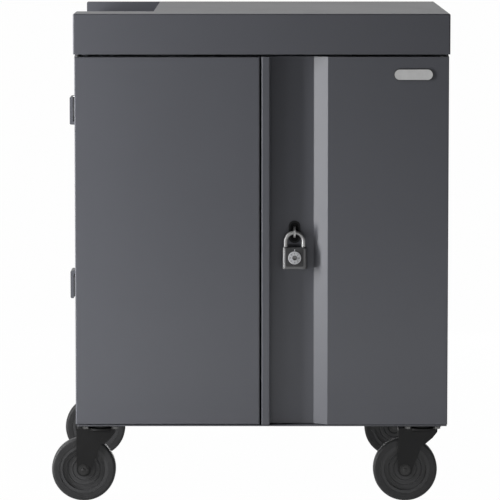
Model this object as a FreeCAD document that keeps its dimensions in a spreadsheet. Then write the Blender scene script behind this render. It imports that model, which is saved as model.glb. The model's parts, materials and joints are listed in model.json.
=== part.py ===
import FreeCAD, Part
import Sketcher
import math
import os
from collections import namedtuple
from types import SimpleNamespace

# Laptop charging cart: a folded-steel cabinet on four swivel casters. Two doors close the front, a
# service door closes the back, and a cap on top holds a handle well at its left end.
# Millimetres. X runs right, Y runs back, Z runs up, and the floor is Z = 0.

SIZES = {
    # cap and cabinet
    "lid_width": 762,
    "lid_depth": 686,
    "lid_height": 82,
    "lid_wall": 2,
    "lid_radius": 3,
    "lid_lap": 4,
    "lid_side_overhang": 2,
    "lid_front_overhang": 2,
    "lid_rear_overhang": 8,
    "caster_height": 160,
    "cabinet_height": 762,
    "sheet": 1.5,
    "fit": 0.2,
    "base_sheet": 2,
    "base_flange": 25,
    "base_setback": 0.5,
    "deck_flange": 25,
    "deck_flange_setback": 8,
    "post_width": 24,
    "post_wall": 2,
    "rail_width": 30,
    "rail_spacing": 260,
    "rail_centre": 70,
    # handle well
    "well_width": 160,
    "well_front_margin": 131,
    "well_rear_margin": 21.5,
    "well_sill": 15,
    "handle_diameter": 22,
    "handle_drop": 38,
    "handle_inset": 15,
    "handle_flange_diameter": 28,
    "handle_flange": 3,
    # doors
    "door_depth": 34,
    "door_standoff": 4,
    "door_gap": 3.5,
    "door_gap_shift": 2,
    "door_side_inset": 0.25,
    "door_foot_gap": 1.2,
    "door_head_gap": 5,
    "door_radius": 2.5,
    "door_return": 14,
    "rear_door_depth": 22,
    "rear_door_standoff": 5,
    "rear_door_side_inset": 1.5,
    "pivot_inset": 9,
    "pivot_setback": 13,
    "pin_diameter": 8,
    "pin_reach": 12,
    "pin_head_diameter": 12,
    "pin_head_height": 2,
    "running_fit": 0.06,
    "bush_diameter": 12,
    "bush_flange_diameter": 18,
    "bush_flange": 2,
    "bush_length": 6,
    # lock channel in the right door
    "channel_strip": 17.25,
    "channel_width": 89,
    "channel_depth": 20,
    "facet_run": 28,
    # stiffeners and catches
    "stiffener_width": 45,
    "left_stiffener_offset": 95,
    "right_stiffener_offset": 180,
    "catch_width": 40,
    "catch_height": 16,
    "catch_drop": 4,
    "catch_gap": 0.3,
    # slide bolts
    "bolt_diameter": 8,
    "bolt_tail": 32,
    "bolt_travel": 16,
    "bolt_inset": 40,
    "bolt_setback": 18,
    "bolt_hole_slack": 0.6,
    "guide_width": 24,
    "guide_height": 40,
    "guide_drop": 24,
    "guide_back": 9,
    "bolt_knob_diameter": 10,
    "bolt_knob_reach": 15,
    "bolt_knob_gap": 27,
    # padlock and its eye
    "lock_offset": 67,
    "lock_eye_rise": 396.3,
    "eye_diameter": 10,
    "eye_plate": 4,
    "eye_plate_height": 22,
    "eye_reach": 9,
    "eye_foot_width": 50,
    "eye_foot_height": 58,
    "eye_slot_width": 16,
    "eye_slot_height": 38,
    "shackle_rod": 8,
    "shackle_width": 44.5,
    "shackle_leg": 11.7,
    "shackle_heel": 28,
    "shackle_toe": 9,
    "shackle_seat_gap": 0.3,
    "case_width": 50,
    "case_height": 44.5,
    "case_depth": 17,
    "case_back_gap": 0.7,
    "case_radius": 8,
    "case_edge": 2.5,
    "dial_diameter": 26,
    "dial_thickness": 2.5,
    "dial_drop": 20.8,
    "dial_hub_diameter": 6,
    "dial_hub_depth": 8,
    # badge plate
    "badge_width": 79,
    "badge_height": 23,
    "badge_thickness": 1.2,
    "badge_offset": 307,
    "badge_drop": 36,
    # shelves and laptop slots
    "shelf_front_margin": 4,
    "shelf_rear_margin": 18,
    "mid_shelf_rise": 394,
    "shelf_flange": 20,
    "laptop_slots": 11,
    "divider": 2,
    "divider_height": 240,
    "divider_front_margin": 18,
    "divider_corner": 45,
    "divider_notch_length": 50,
    "divider_notch_height": 40,
    # power bay
    "bay_depth": 161.5,
    "bay_gap": 5,
    "cable_gap": 39,
    "strip_length": 600,
    "strip_height": 50,
    "strip_depth": 45,
    "strip_radius": 4,
    "strip_gap": 15,
    "socket_pitch": 52,
    "socket_width": 30,
    "socket_height": 34,
    "socket_recess": 2,
    "socket_slot_spacing": 12,
    "socket_slot_width": 2.4,
    "socket_slot_height": 9,
    "socket_slot_depth": 3,
    "box_width": 160,
    "box_depth": 90,
    "box_height": 100,
    "box_side_gap": 36,
    "box_radius": 6,
    # power inlet on the left side
    "inlet_post_gap": 30,
    "inlet_rise": 115,
    "bezel_width": 60,
    "bezel_height": 80,
    "bezel_thickness": 2.5,
    "inlet_width": 48,
    "inlet_height": 68,
    "inlet_depth": 35,
    "socket_mouth_width": 27.5,
    "socket_mouth_height": 20.5,
    "socket_mouth_depth": 17,
    "socket_mouth_drop": 18,
    "inlet_pin_length": 11,
    "inlet_pin_width": 2,
    "inlet_pin_height": 4,
    "inlet_pin_spacing": 7,
    "rocker_diameter": 18,
    "rocker_width": 16,
    "rocker_rise": 18,
    "rocker_proud": 4,
    "rocker_valley": 5.5,
    "rocker_crest": 7.2,
    "rocker_tilt": 8,
    "rocker_gap": 0.3,
    "trunnion_diameter": 4,
    "trunnion_length": 2,
    # cord hooks on the left side
    "hook_width": 60,
    "hook_height": 60,
    "hook_reach": 33.5,
    "hook_thickness": 3,
    "hook_bar": 7,
    "hook_radius": 3,
    "hook_post_gap": 59,
    "hook_spacing": 317,
    "lower_hook_rise": 264,
    # side vents and rear louvres
    "vent_length": 120,
    "vent_width": 6,
    "vent_pitch": 16,
    "vent_count": 8,
    "vent_setback": 165,
    "vent_rise": 120,
    "vent_tier_spacing": 370,
    "louvre_length": 240,
    "louvre_width": 6,
    "louvre_pitch": 18,
    "louvre_count": 10,
    "louvre_spacing": 320,
    "louvre_rise": 70,
    "louvre_tier_spacing": 400,
    # rear lock
    "rear_lock_offset": 335,
    "rear_lock_rise": 380,
    "lock_flange_diameter": 26,
    "lock_flange": 3,
    "lock_barrel_diameter": 18,
    "lock_barrel_length": 29,
    "lock_plug_diameter": 12,
    "key_slot_width": 2,
    "key_slot_height": 8,
    "key_slot_depth": 4,
    "cam_thickness": 3,
    "cam_width": 14,
    "cam_length": 30,
    "cam_slot_slack": 3,
    # casters
    "caster_inset": 48,
    "caster_setback": 52,
    "caster_plate_length": 76,
    "caster_plate_width": 60,
    "caster_plate": 4,
    "bolt_pattern_length": 58,
    "bolt_pattern_width": 44,
    "caster_bolt_diameter": 8,
    "caster_bolt_head": 13,
    "caster_bolt_head_height": 5,
    "race_diameter": 46,
    "race_height": 3,
    "swivel_gap": 0.3,
    "kingpin_diameter": 12,
    "kingpin_head_diameter": 20,
    "kingpin_head_height": 5,
    "crown_diameter": 58,
    "crown_height": 8,
    "crown_chamfer": 2,
    "trail": 35,
    "wheel_diameter": 131,
    "wheel_width": 30,
    "leg_clearance": 1.5,
    "leg_thickness": 3.5,
    "leg_lead": 26,
    "leg_knee_lead": 5,
    "leg_knee_drop": 23,
    "axle_boss_diameter": 29,
    "axle_diameter": 10,
    "axle_head": 16,
    "axle_head_height": 5,
    "core_diameter": 101,
    "core_rim": 7,
    "core_rim_setback": 1,
    "core_web": 16,
    "hub_diameter": 29,
    "hub_overhang": 1,
    "tyre_gap": 0.1,
    "tyre_shoulder": 6,
    # brake pedals on the rear casters
    "pedal_pivot_offset": 36,
    "pedal_pivot_drop": 33,
    "pedal_pin_diameter": 8,
    "pedal_hub_diameter": 15,
    "pedal_ear": 9,
    "pedal_side_gap": 0.4,
    "pedal_length": 40,
    "pedal_thickness": 5,
    "pedal_lift": 6,
    "pedal_swing": 15,
    "pedal_wheel_gap": 1,
    "pedal_tooth": 8,
}

doc = FreeCAD.newDocument("charging_cart")
sheet = doc.addObject("Spreadsheet::Sheet", "Sizes")
for row, (alias, number) in enumerate(SIZES.items(), start=1):
    sheet.set(f"A{row}", alias)
    sheet.set(f"B{row}", str(number))
    sheet.setAlias(f"B{row}", alias)
doc.recompute()


class Size:
    # A length or count, kept as a number and as the sheet formula that gives it.
    def __init__(self, formula, value):
        self.formula = formula
        self.value = value

    def __add__(self, other):
        other = sized(other)
        return Size(f"({self.formula} + {other.formula})", self.value + other.value)

    def __radd__(self, other):
        return sized(other) + self

    def __sub__(self, other):
        other = sized(other)
        return Size(f"({self.formula} - {other.formula})", self.value - other.value)

    def __rsub__(self, other):
        return sized(other) - self

    def __mul__(self, other):
        other = sized(other)
        return Size(f"({self.formula} * {other.formula})", self.value * other.value)

    def __rmul__(self, other):
        return sized(other) * self

    def __truediv__(self, other):
        other = sized(other)
        return Size(f"({self.formula} / {other.formula})", self.value / other.value)

    def __neg__(self):
        return 0 - self


def sized(number):
    return number if isinstance(number, Size) else Size(f"({number!r})", number)


def root(size):
    return Size(f"sqrt({size.formula})", math.sqrt(size.value))


def turned(u, v, degrees):
    # The point (u, v) turned about the origin by an angle held in the sheet.
    angle = math.radians(degrees.value)
    cosine = Size(f"cos({degrees.formula} * 1 deg)", math.cos(angle))
    sine = Size(f"sin({degrees.formula} * 1 deg)", math.sin(angle))
    return u * cosine - v * sine, u * sine + v * cosine


def bind(item, name, size):
    item.setExpression(name, sized(size).formula)


# Outlines and features. An outline is a list of corners, a circle or a slot with round ends.
Circle = namedtuple("Circle", "u v radius")
Slot = namedtuple("Slot", "u v length width")
PLANES = {"X": "YZ_Plane", "Y": "XZ_Plane", "Z": "XY_Plane"}
NEAR = 1e-4


def rectangle(u0, v0, u1, v1):
    return [(u0, v0), (u1, v0), (u1, v1), (u0, v1)]


def hexagon(u, v, across_flats):
    reach = across_flats / math.sqrt(3)
    turns = [math.radians(60 * corner) for corner in range(6)]
    return [(u + reach * math.cos(turn), v + reach * math.sin(turn)) for turn in turns]


def origin_feature(body, role):
    return next(item for item in body.Origin.OriginFeatures if item.Role == role)


def new_body(label):
    body = doc.addObject("PartDesign::Body", label)
    body.Label = label
    body.AllowCompound = True
    return body


def hold(sketch, kind, geometry, point, size):
    # One bound distance from the sketch's origin to a point.
    size = sized(size)
    index = sketch.addConstraint(Sketcher.Constraint(kind, -1, 1, geometry, point, size.value))
    bind(sketch, f"Constraints[{index}]", size)


def at(sketch, geometry, point, u, v):
    hold(sketch, "DistanceX", geometry, point, u)
    hold(sketch, "DistanceY", geometry, point, v)


def draw_corners(sketch, corners):
    points = [FreeCAD.Vector(sized(u).value, sized(v).value, 0) for u, v in corners]
    first = sketch.GeometryCount
    count = len(points)
    sketch.addGeometry([Part.LineSegment(points[i - 1], points[i]) for i in range(count)], False)
    for i in range(count):
        joint = Sketcher.Constraint("Coincident", first + i, 2, first + (i + 1) % count, 1)
        sketch.addConstraint(joint)
    for i, (u, v) in enumerate(corners):
        at(sketch, first + i, 2, u, v)


def draw_circle(sketch, circle):
    radius = sized(circle.radius)
    centre = FreeCAD.Vector(sized(circle.u).value, sized(circle.v).value, 0)
    ring = sketch.addGeometry(Part.Circle(centre, FreeCAD.Vector(0, 0, 1), radius.value), False)
    at(sketch, ring, 3, circle.u, circle.v)
    index = sketch.addConstraint(Sketcher.Constraint("Radius", ring, radius.value))
    bind(sketch, f"Constraints[{index}]", radius)


def draw_slot(sketch, slot):
    radius = sized(slot.width) / 2
    half = (sized(slot.length) - slot.width) / 2
    u, v = sized(slot.u), sized(slot.v)
    up = FreeCAD.Vector(0, 0, 1)
    left = FreeCAD.Vector((u - half).value, v.value, 0)
    right = FreeCAD.Vector((u + half).value, v.value, 0)
    rise = FreeCAD.Vector(0, radius.value, 0)
    right_end = Part.ArcOfCircle(Part.Circle(right, up, radius.value), -math.pi / 2, math.pi / 2)
    left_end = Part.ArcOfCircle(Part.Circle(left, up, radius.value), math.pi / 2, 3 * math.pi / 2)
    first = sketch.GeometryCount
    sketch.addGeometry(Part.LineSegment(left - rise, right - rise), False)
    sketch.addGeometry(right_end, False)
    sketch.addGeometry(Part.LineSegment(right + rise, left + rise), False)
    sketch.addGeometry(left_end, False)
    ends = [(0, 2, 1, 1), (1, 2, 2, 1), (2, 2, 3, 1), (3, 2, 0, 1)]
    for one, one_end, other, other_end in ends:
        joint = Sketcher.Constraint("Tangent", first + one, one_end, first + other, other_end)
        sketch.addConstraint(joint)
    sketch.addConstraint(Sketcher.Constraint("Equal", first + 1, first + 3))
    at(sketch, first + 1, 3, u + half, v)
    at(sketch, first + 3, 3, u - half, v)
    index = sketch.addConstraint(Sketcher.Constraint("Radius", first + 1, radius.value))
    bind(sketch, f"Constraints[{index}]", radius)


def new_sketch(body, axis, level, outlines):
    # A sketch square to an axis at a level. The plane square to Y faces the front.
    sketch = body.newObject("Sketcher::SketchObject", f"{body.Name}_sketch")
    sketch.AttachmentSupport = (origin_feature(body, PLANES[axis]), [""])
    sketch.MapMode = "FlatFace"
    bind(sketch, "AttachmentOffset.Base.z", -level if axis == "Y" else level)
    for outline in outlines:
        if isinstance(outline, Circle):
            draw_circle(sketch, outline)
        elif isinstance(outline, Slot):
            draw_slot(sketch, outline)
        else:
            draw_corners(sketch, outline)
    return sketch


def ordered(start, end):
    return sorted((sized(start), sized(end)), key=lambda size: size.value)


def pad(body, axis, start, end, *outlines):
    low, high = ordered(start, end)
    sketch = new_sketch(body, axis, high if axis == "Y" else low, outlines)
    feature = body.newObject("PartDesign::Pad", f"{body.Name}_pad")
    feature.Profile = sketch
    bind(feature, "Length", high - low)
    return feature


def pocket(body, axis, start, end, *outlines):
    doc.recompute()
    before = body.Tip.Shape.Volume
    low, high = ordered(start, end)
    sketch = new_sketch(body, axis, low if axis == "Y" else high, outlines)
    feature = body.newObject("PartDesign::Pocket", f"{body.Name}_pocket")
    feature.Profile = sketch
    bind(feature, "Length", high - low)
    doc.recompute()
    if not feature.Shape.Volume < before - NEAR:
        raise RuntimeError(f"{feature.Name} cuts nothing")
    return feature


def revolve(body, axis, outline):
    # A full turn about the body's Y or Z axis. The outline gives radius and height.
    sketch = new_sketch(body, {"Y": "Z", "Z": "Y"}[axis], sized(0), [outline])
    feature = body.newObject("PartDesign::Revolution", f"{body.Name}_turned")
    feature.Profile = sketch
    feature.ReferenceAxis = (sketch, ["V_Axis"])
    feature.Angle = 360
    return feature


def row_of(body, originals, axis, pitch, count, second=None):
    # Copies along one axis, or a grid along two.
    feature = body.newObject("PartDesign::LinearPattern", f"{body.Name}_row")
    feature.Originals = originals
    feature.Direction = (origin_feature(body, f"{axis}_Axis"), [""])
    bind(feature, "Length", pitch * (count - 1))
    bind(feature, "Occurrences", count)
    if second:
        second_axis, second_pitch, second_count = second
        feature.Direction2 = (origin_feature(body, f"{second_axis}_Axis"), [""])
        bind(feature, "Length2", second_pitch * (second_count - 1))
        bind(feature, "Occurrences2", second_count)
    body.Tip = feature
    return feature


def fillet(body, radius, *places):
    # Rounds each edge whose whole length lies at one of the places, such as {"x": ..., "y": ...}.
    # A place may also give the radius of a round edge.
    doc.recompute()
    base = body.Tip
    names = []
    for number, edge in enumerate(base.Shape.Edges, start=1):
        box = edge.BoundBox
        reach = {"x": (box.XMin, box.XMax), "y": (box.YMin, box.YMax), "z": (box.ZMin, box.ZMax),
                 "radius": (getattr(edge.Curve, "Radius", 0),)}
        for spot in places:
            ends = [(end, sized(spot[key]).value) for key in spot for end in reach[key]]
            if all(abs(end - wanted) < NEAR for end, wanted in ends):
                names.append(f"Edge{number}")
                break
    feature = body.newObject("PartDesign::Fillet", f"{body.Name}_round")
    feature.Base = (base, names)
    bind(feature, "Radius", radius)
    return feature


# Places worked out from the sheet.
d = SimpleNamespace(**{alias: Size(f"Sizes.{alias}", number) for alias, number in SIZES.items()})
PAST = sized(1)

lid_half = d.lid_width / 2
lid_back = d.lid_depth / 2
cabinet_half = lid_half - d.lid_side_overhang
panel_inner = cabinet_half - d.sheet
base_top = d.caster_height + d.base_sheet
deck_bottom = d.caster_height + d.cabinet_height
deck_top = deck_bottom + d.sheet
lid_bottom = deck_bottom - d.lid_lap
lid_top = lid_bottom + d.lid_height
lid_ceiling = lid_top - d.lid_wall

door_front = d.lid_front_overhang - lid_back
door_back = door_front + d.door_depth
cabinet_front = door_back + d.door_standoff
rear_door_back = lid_back - d.lid_rear_overhang
rear_door_front = rear_door_back - d.rear_door_depth
cabinet_rear = rear_door_front - d.rear_door_standoff
door_bottom = base_top + d.door_foot_gap
door_top = lid_bottom - d.door_head_gap
door_outer = cabinet_half - d.door_side_inset
# the doors meet a little left of the middle
left_free = -d.door_gap / 2 - d.door_gap_shift
right_free = d.door_gap / 2 - d.door_gap_shift
post_inner = panel_inner - d.post_width
post_front_end = cabinet_front + d.post_width
post_rear_end = cabinet_rear - d.post_width

pivot_x = door_outer - d.pivot_inset
pivot_y = door_front + d.pivot_setback
rear_door_half = cabinet_half - d.rear_door_side_inset
rear_pivot_x = rear_door_half - d.pivot_inset
rear_pivot_y = rear_door_front + d.rear_door_depth / 2
bolt_x = -d.bolt_inset
bolt_y = door_front + d.bolt_setback
pin_radius = d.pin_diameter / 2
pin_hole = pin_radius + d.fit
bush_hole = d.bush_diameter / 2 + d.fit
bolt_hole = d.bolt_diameter / 2 + d.bolt_hole_slack
front_pivots = [(-pivot_x, pivot_y), (pivot_x, pivot_y)]
pivots = front_pivots + [(rear_pivot_x, rear_pivot_y)]

well_front = d.well_front_margin - lid_back
well_rear = lid_back - d.well_rear_margin
well_right = d.well_width - lid_half

shelf_seat = base_top + d.base_flange
lower_shelf_top = shelf_seat + d.sheet
mid_shelf_bottom = d.caster_height + d.mid_shelf_rise
mid_shelf_top = mid_shelf_bottom + d.sheet
divider_front = cabinet_front + d.divider_front_margin
partition_rear = cabinet_rear - d.bay_depth
partition_front = partition_rear - d.sheet
divider_rear = partition_front - d.bay_gap
vent_centre = divider_front + d.vent_setback
inlet_centre = post_rear_end - d.inlet_post_gap - d.inlet_width / 2
hook_centre = post_rear_end - d.hook_post_gap - d.hook_width / 2
inlet_level = d.caster_height + d.inlet_rise
lower_hook_level = d.caster_height + d.lower_hook_rise
vent_level = d.caster_height + d.vent_rise
louvre_level = d.caster_height + d.louvre_rise
rear_lock_level = d.caster_height + d.rear_lock_rise
lock_eye_level = d.caster_height + d.lock_eye_rise

channel_start = right_free + d.channel_strip
channel_floor = door_front + d.channel_depth
facet_start = channel_start + d.channel_width
facet_end = facet_start + d.facet_run

swivel_x = panel_inner - d.caster_inset
swivel_y = lid_back - d.caster_setback
plate_bottom = d.caster_height - d.caster_plate
crown_top = plate_bottom - d.race_height - d.swivel_gap
crown_bottom = crown_top - d.crown_height
wheel_radius = d.wheel_diameter / 2
leg_inner = d.wheel_width / 2 + d.leg_clearance
leg_outer = leg_inner + d.leg_thickness

# The wheels trail to the left and the pedals reach to the right, so the cabinet stands a little
# right of the middle of the whole.
left_reach = swivel_x + d.trail + wheel_radius
right_reach = swivel_x + d.pedal_pivot_offset + d.pedal_length
centre_x = (left_reach - right_reach) / 2


def place(body, x=0, y=0, z=0):
    bind(body, "Placement.Base.x", centre_x + x)
    bind(body, "Placement.Base.y", y)
    bind(body, "Placement.Base.z", z)
    return body


# Cabinet

def make_base_pan():
    body = new_body("base_pan")
    front = door_front + d.base_setback
    rear = rear_door_back - d.base_setback
    pad(body, "Z", d.caster_height, base_top, rectangle(-panel_inner, front, panel_inner, rear))
    for side in (-1, 1):
        lip = rectangle(side * panel_inner, post_front_end,
                        side * (panel_inner - d.sheet), post_rear_end)
        pad(body, "Z", base_top, shelf_seat, lip)
    holes = [Circle(x, y, pin_hole) for x, y in pivots]
    pocket(body, "Z", d.caster_height, base_top, Circle(bolt_x, bolt_y, bolt_hole), *holes)
    studs = pocket(body, "Z", d.caster_height, base_top, *caster_bolt_circles(d.fit))
    at_each_caster(body, [studs])
    return place(body)


def make_corner_posts():
    body = new_body("corner_posts")
    tubes = []
    for side in (-1, 1):
        for y0, y1 in ((cabinet_front, post_front_end), (post_rear_end, cabinet_rear)):
            tubes.append(rectangle(side * post_inner, y0, side * panel_inner, y1))
            tubes.append(rectangle(side * (post_inner + d.post_wall), y0 + d.post_wall,
                                   side * (panel_inner - d.post_wall), y1 - d.post_wall))
    pad(body, "Z", base_top, deck_bottom, *tubes)
    # the slot that the rear lock's cam turns into
    slot = rectangle(cam_front - d.cam_slot_slack, rear_lock_level - d.cam_length - d.cam_slot_slack,
                     cam_rear + d.cam_slot_slack, rear_lock_level + d.cam_width)
    pocket(body, "X", -post_inner - d.post_wall, -post_inner, slot)
    return place(body)


def make_side_panel(label, side):
    body = new_body(label)
    sheet_outline = rectangle(cabinet_front, d.caster_height, cabinet_rear, deck_bottom)
    pad(body, "X", side * panel_inner, side * cabinet_half, sheet_outline)
    for tier in range(2):
        level = vent_level + tier * d.vent_tier_spacing
        vent = pocket(body, "X", side * panel_inner, side * cabinet_half,
                      Slot(vent_centre, level, d.vent_length, d.vent_width))
        row_of(body, [vent], "Z", d.vent_pitch, d.vent_count)
    if side < 0:
        half_width = d.inlet_width / 2 + d.fit
        half_height = d.inlet_height / 2 + d.fit
        window = rectangle(inlet_centre - half_width, inlet_level - half_height,
                           inlet_centre + half_width, inlet_level + half_height)
        pocket(body, "X", side * panel_inner, side * cabinet_half, window)
    return place(body)


def make_top_deck():
    body = new_body("top_deck")
    deck_back = lid_back - d.lid_side_overhang
    pad(body, "Z", deck_bottom, deck_top,
        rectangle(-cabinet_half, -deck_back, cabinet_half, deck_back))
    rear_flange = cabinet_rear - d.deck_flange_setback
    for y0, y1 in ((deck_flange_front, deck_flange_front + d.sheet), (rear_flange - d.sheet, rear_flange)):
        pad(body, "Z", deck_bottom - d.deck_flange, deck_bottom,
            rectangle(-post_inner, y0, post_inner, y1))
    holes = [Circle(x, y, pin_hole) for x, y in pivots]
    pocket(body, "Z", deck_bottom, deck_top, Circle(bolt_x, bolt_y, bolt_hole), *holes)
    return place(body)


def make_top_lid():
    body = new_body("top_lid")
    pad(body, "Z", lid_bottom, lid_top, rectangle(-lid_half, -lid_back, lid_half, lid_back))
    corners = [{"x": side * lid_half, "y": end * lid_back} for side in (-1, 1) for end in (-1, 1)]
    rims = [{"x": side * lid_half, "z": lid_top} for side in (-1, 1)]
    ends = [{"y": end * lid_back, "z": lid_top} for end in (-1, 1)]
    fillet(body, d.lid_radius, *corners, *rims, *ends)
    inner_half = lid_half - d.lid_wall
    inner_back = lid_back - d.lid_wall
    pocket(body, "Z", lid_bottom, lid_ceiling,
           rectangle(-inner_half, -inner_back, inner_half, inner_back))
    pocket(body, "Z", lid_ceiling, lid_top,
           rectangle(-lid_half - PAST, well_front, well_right, well_rear))
    pocket(body, "X", -lid_half, -inner_half,
           rectangle(well_front, lid_bottom + d.well_sill, well_rear, lid_top + PAST))
    return place(body)


def make_lid_rails():
    body = new_body("lid_rails")
    rails = []
    for side in (-1, 1):
        left = d.rail_centre + side * d.rail_spacing / 2 - d.rail_width / 2
        right = left + d.rail_width
        under = lid_ceiling - d.sheet
        rails.append([(left, deck_top), (left, lid_ceiling), (right, lid_ceiling), (right, deck_top),
                      (right - d.sheet, deck_top), (right - d.sheet, under),
                      (left + d.sheet, under), (left + d.sheet, deck_top)])
    reach = lid_back - d.lid_wall - PAST
    pad(body, "Y", -reach, reach, *rails)
    return place(body)


def make_handle_well():
    body = new_body("handle_well")
    pad(body, "Z", deck_top, lid_ceiling,
        rectangle(-cabinet_half, well_front - d.sheet, well_right + d.sheet, well_rear + d.sheet))
    pocket(body, "Z", deck_top + d.sheet, lid_ceiling,
           rectangle(-cabinet_half - PAST, well_front, well_right, well_rear))
    return place(body)


def make_push_handle():
    body = new_body("push_handle")
    x, z = d.handle_inset - lid_half, lid_top - d.handle_drop
    pad(body, "Y", well_front, well_rear, Circle(x, z, d.handle_diameter / 2))
    flange = Circle(x, z, d.handle_flange_diameter / 2)
    pad(body, "Y", well_front, well_front + d.handle_flange, flange)
    pad(body, "Y", well_rear - d.handle_flange, well_rear, flange)
    return place(body)


def make_shelf(label, bottom, flange):
    body = new_body(label)
    half = panel_inner - d.fit
    front = cabinet_front + d.shelf_front_margin
    rear = cabinet_rear - d.shelf_rear_margin
    notch = post_inner - d.fit
    front_notch = post_front_end + d.fit
    rear_notch = post_rear_end - d.fit
    outline = [(-notch, front), (notch, front), (notch, front_notch), (half, front_notch),
               (half, rear_notch), (notch, rear_notch), (notch, rear), (-notch, rear),
               (-notch, rear_notch), (-half, rear_notch), (-half, front_notch), (-notch, front_notch)]
    pad(body, "Z", bottom, bottom + d.sheet, outline)
    if flange:
        for side in (-1, 1):
            lip = rectangle(side * half, front_notch, side * (half - d.sheet), rear_notch)
            pad(body, "Z", bottom - d.shelf_flange, bottom, lip)
    return place(body)


def make_dividers(label, seat):
    body = new_body(label)
    pitch = 2 * post_inner / d.laptop_slots
    first = pitch - post_inner - d.divider / 2
    top = seat + d.divider_height
    outline = [(divider_front, seat), (divider_rear, seat), (divider_rear, top - d.divider_notch_height),
               (divider_rear - d.divider_notch_length, top - d.divider_notch_height),
               (divider_rear - d.divider_notch_length, top), (divider_front + d.divider_corner, top),
               (divider_front, top - d.divider_corner)]
    plate = pad(body, "X", first, first + d.divider, outline)
    row_of(body, [plate], "X", pitch, d.laptop_slots - 1)
    return place(body)


def make_bay_partition():
    body = new_body("bay_partition")
    half = panel_inner - d.fit
    lower = rectangle(-half, lower_shelf_top, half, mid_shelf_bottom - d.cable_gap)
    upper = rectangle(-half, mid_shelf_top, half, deck_bottom - d.cable_gap)
    pad(body, "Y", partition_front, partition_rear, lower, upper)
    return place(body)


# Power bay

def make_power_strips():
    body = new_body("power_strips")
    half = d.strip_length / 2
    back = partition_rear + d.strip_depth
    # the strips hang clear of the control box that stands below the lower one
    rise = d.box_height + d.strip_gap + d.strip_height / 2
    levels = [lower_shelf_top + rise, mid_shelf_top + rise]
    strips = [rectangle(-half, level - d.strip_height / 2, half, level + d.strip_height / 2)
              for level in levels]
    pad(body, "Y", partition_rear, back, *strips)
    edges = [{"y": back, "z": level + side * d.strip_height / 2} for level in levels for side in (-1, 1)]
    fillet(body, d.strip_radius, *edges)
    first = -d.socket_pitch * (d.laptop_slots - 1) / 2
    level = levels[0]
    well = rectangle(first - d.socket_width / 2, level - d.socket_height / 2,
                     first + d.socket_width / 2, level + d.socket_height / 2)
    floor = back - d.socket_recess
    recess = pocket(body, "Y", floor, back, well)
    tiers = ("Z", levels[1] - levels[0], 2)
    row_of(body, [recess], "X", d.socket_pitch, d.laptop_slots, tiers)
    slots = []
    for side in (-1, 1):
        middle = first + side * d.socket_slot_spacing / 2
        slots.append(rectangle(middle - d.socket_slot_width / 2, level,
                               middle + d.socket_slot_width / 2, level + d.socket_slot_height))
    blades = pocket(body, "Y", floor - d.socket_slot_depth, floor, *slots)
    row_of(body, [blades], "X", d.socket_pitch, d.laptop_slots, tiers)
    return place(body)


def make_control_box():
    body = new_body("control_box")
    right = panel_inner - d.box_side_gap
    left = right - d.box_width
    back = partition_rear + d.box_depth
    top = lower_shelf_top + d.box_height
    pad(body, "Z", lower_shelf_top, top, rectangle(left, partition_rear, right, back))
    fillet(body, d.box_radius, {"y": back, "z": top}, {"x": left, "y": back}, {"x": right, "y": back})
    return place(body)


def make_power_inlet():
    body = new_body("power_inlet")
    face = cabinet_half + d.bezel_thickness
    y, z = inlet_centre, inlet_level
    pad(body, "X", -face, -cabinet_half,
        rectangle(y - d.bezel_width / 2, z - d.bezel_height / 2,
                  y + d.bezel_width / 2, z + d.bezel_height / 2))
    pad(body, "X", -cabinet_half, d.inlet_depth - cabinet_half,
        rectangle(y - d.inlet_width / 2, z - d.inlet_height / 2,
                  y + d.inlet_width / 2, z + d.inlet_height / 2))
    mouth_z = z - d.socket_mouth_drop
    mouth_floor = d.socket_mouth_depth - face
    pocket(body, "X", -face, mouth_floor,
           rectangle(y - d.socket_mouth_width / 2, mouth_z - d.socket_mouth_height / 2,
                     y + d.socket_mouth_width / 2, mouth_z + d.socket_mouth_height / 2))
    half_width = d.rocker_width / 2 + d.rocker_gap
    half_height = d.rocker_diameter / 2 + d.rocker_gap
    rocker_z = z + d.rocker_rise
    pocket(body, "X", -face, rocker_x + half_height,
           rectangle(y - half_width, rocker_z - half_height, y + half_width, rocker_z + half_height))
    reach = d.rocker_width / 2 + d.trunnion_length + d.rocker_gap
    pocket(body, "Y", y - reach, y + reach,
           Circle(rocker_x, rocker_z, d.trunnion_diameter / 2 + d.running_fit))
    pins = []
    for step in (-1, 0, 1):
        middle = y + step * d.inlet_pin_spacing
        pins.append(rectangle(middle - d.inlet_pin_width / 2, mouth_z - d.inlet_pin_height / 2,
                              middle + d.inlet_pin_width / 2, mouth_z + d.inlet_pin_height / 2))
    pad(body, "X", mouth_floor - d.inlet_pin_length, mouth_floor, *pins)
    return place(body)


rocker_x = -cabinet_half - d.bezel_thickness - d.rocker_proud + d.rocker_diameter / 2


def make_inlet_rocker():
    # A short drum with two shallow faces, tipped to its off side.
    body = new_body("inlet_rocker")
    half = d.rocker_width / 2
    pad(body, "Y", -half, half, Circle(0, 0, d.rocker_diameter / 2))
    out = d.rocker_diameter
    valley = turned(-d.rocker_valley, sized(0), d.rocker_tilt)
    crests = [turned(-d.rocker_crest, side * d.rocker_diameter / 2, d.rocker_tilt) for side in (1, -1)]
    corners = [turned(-out, side * out, d.rocker_tilt) for side in (-1, 1)]
    pocket(body, "Y", -half, half, [valley, crests[1], corners[0], corners[1], crests[0]])
    reach = half + d.trunnion_length
    pad(body, "Y", -reach, reach, Circle(0, 0, d.trunnion_diameter / 2))
    return place(body, rocker_x, inlet_centre, inlet_level + d.rocker_rise)


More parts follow.
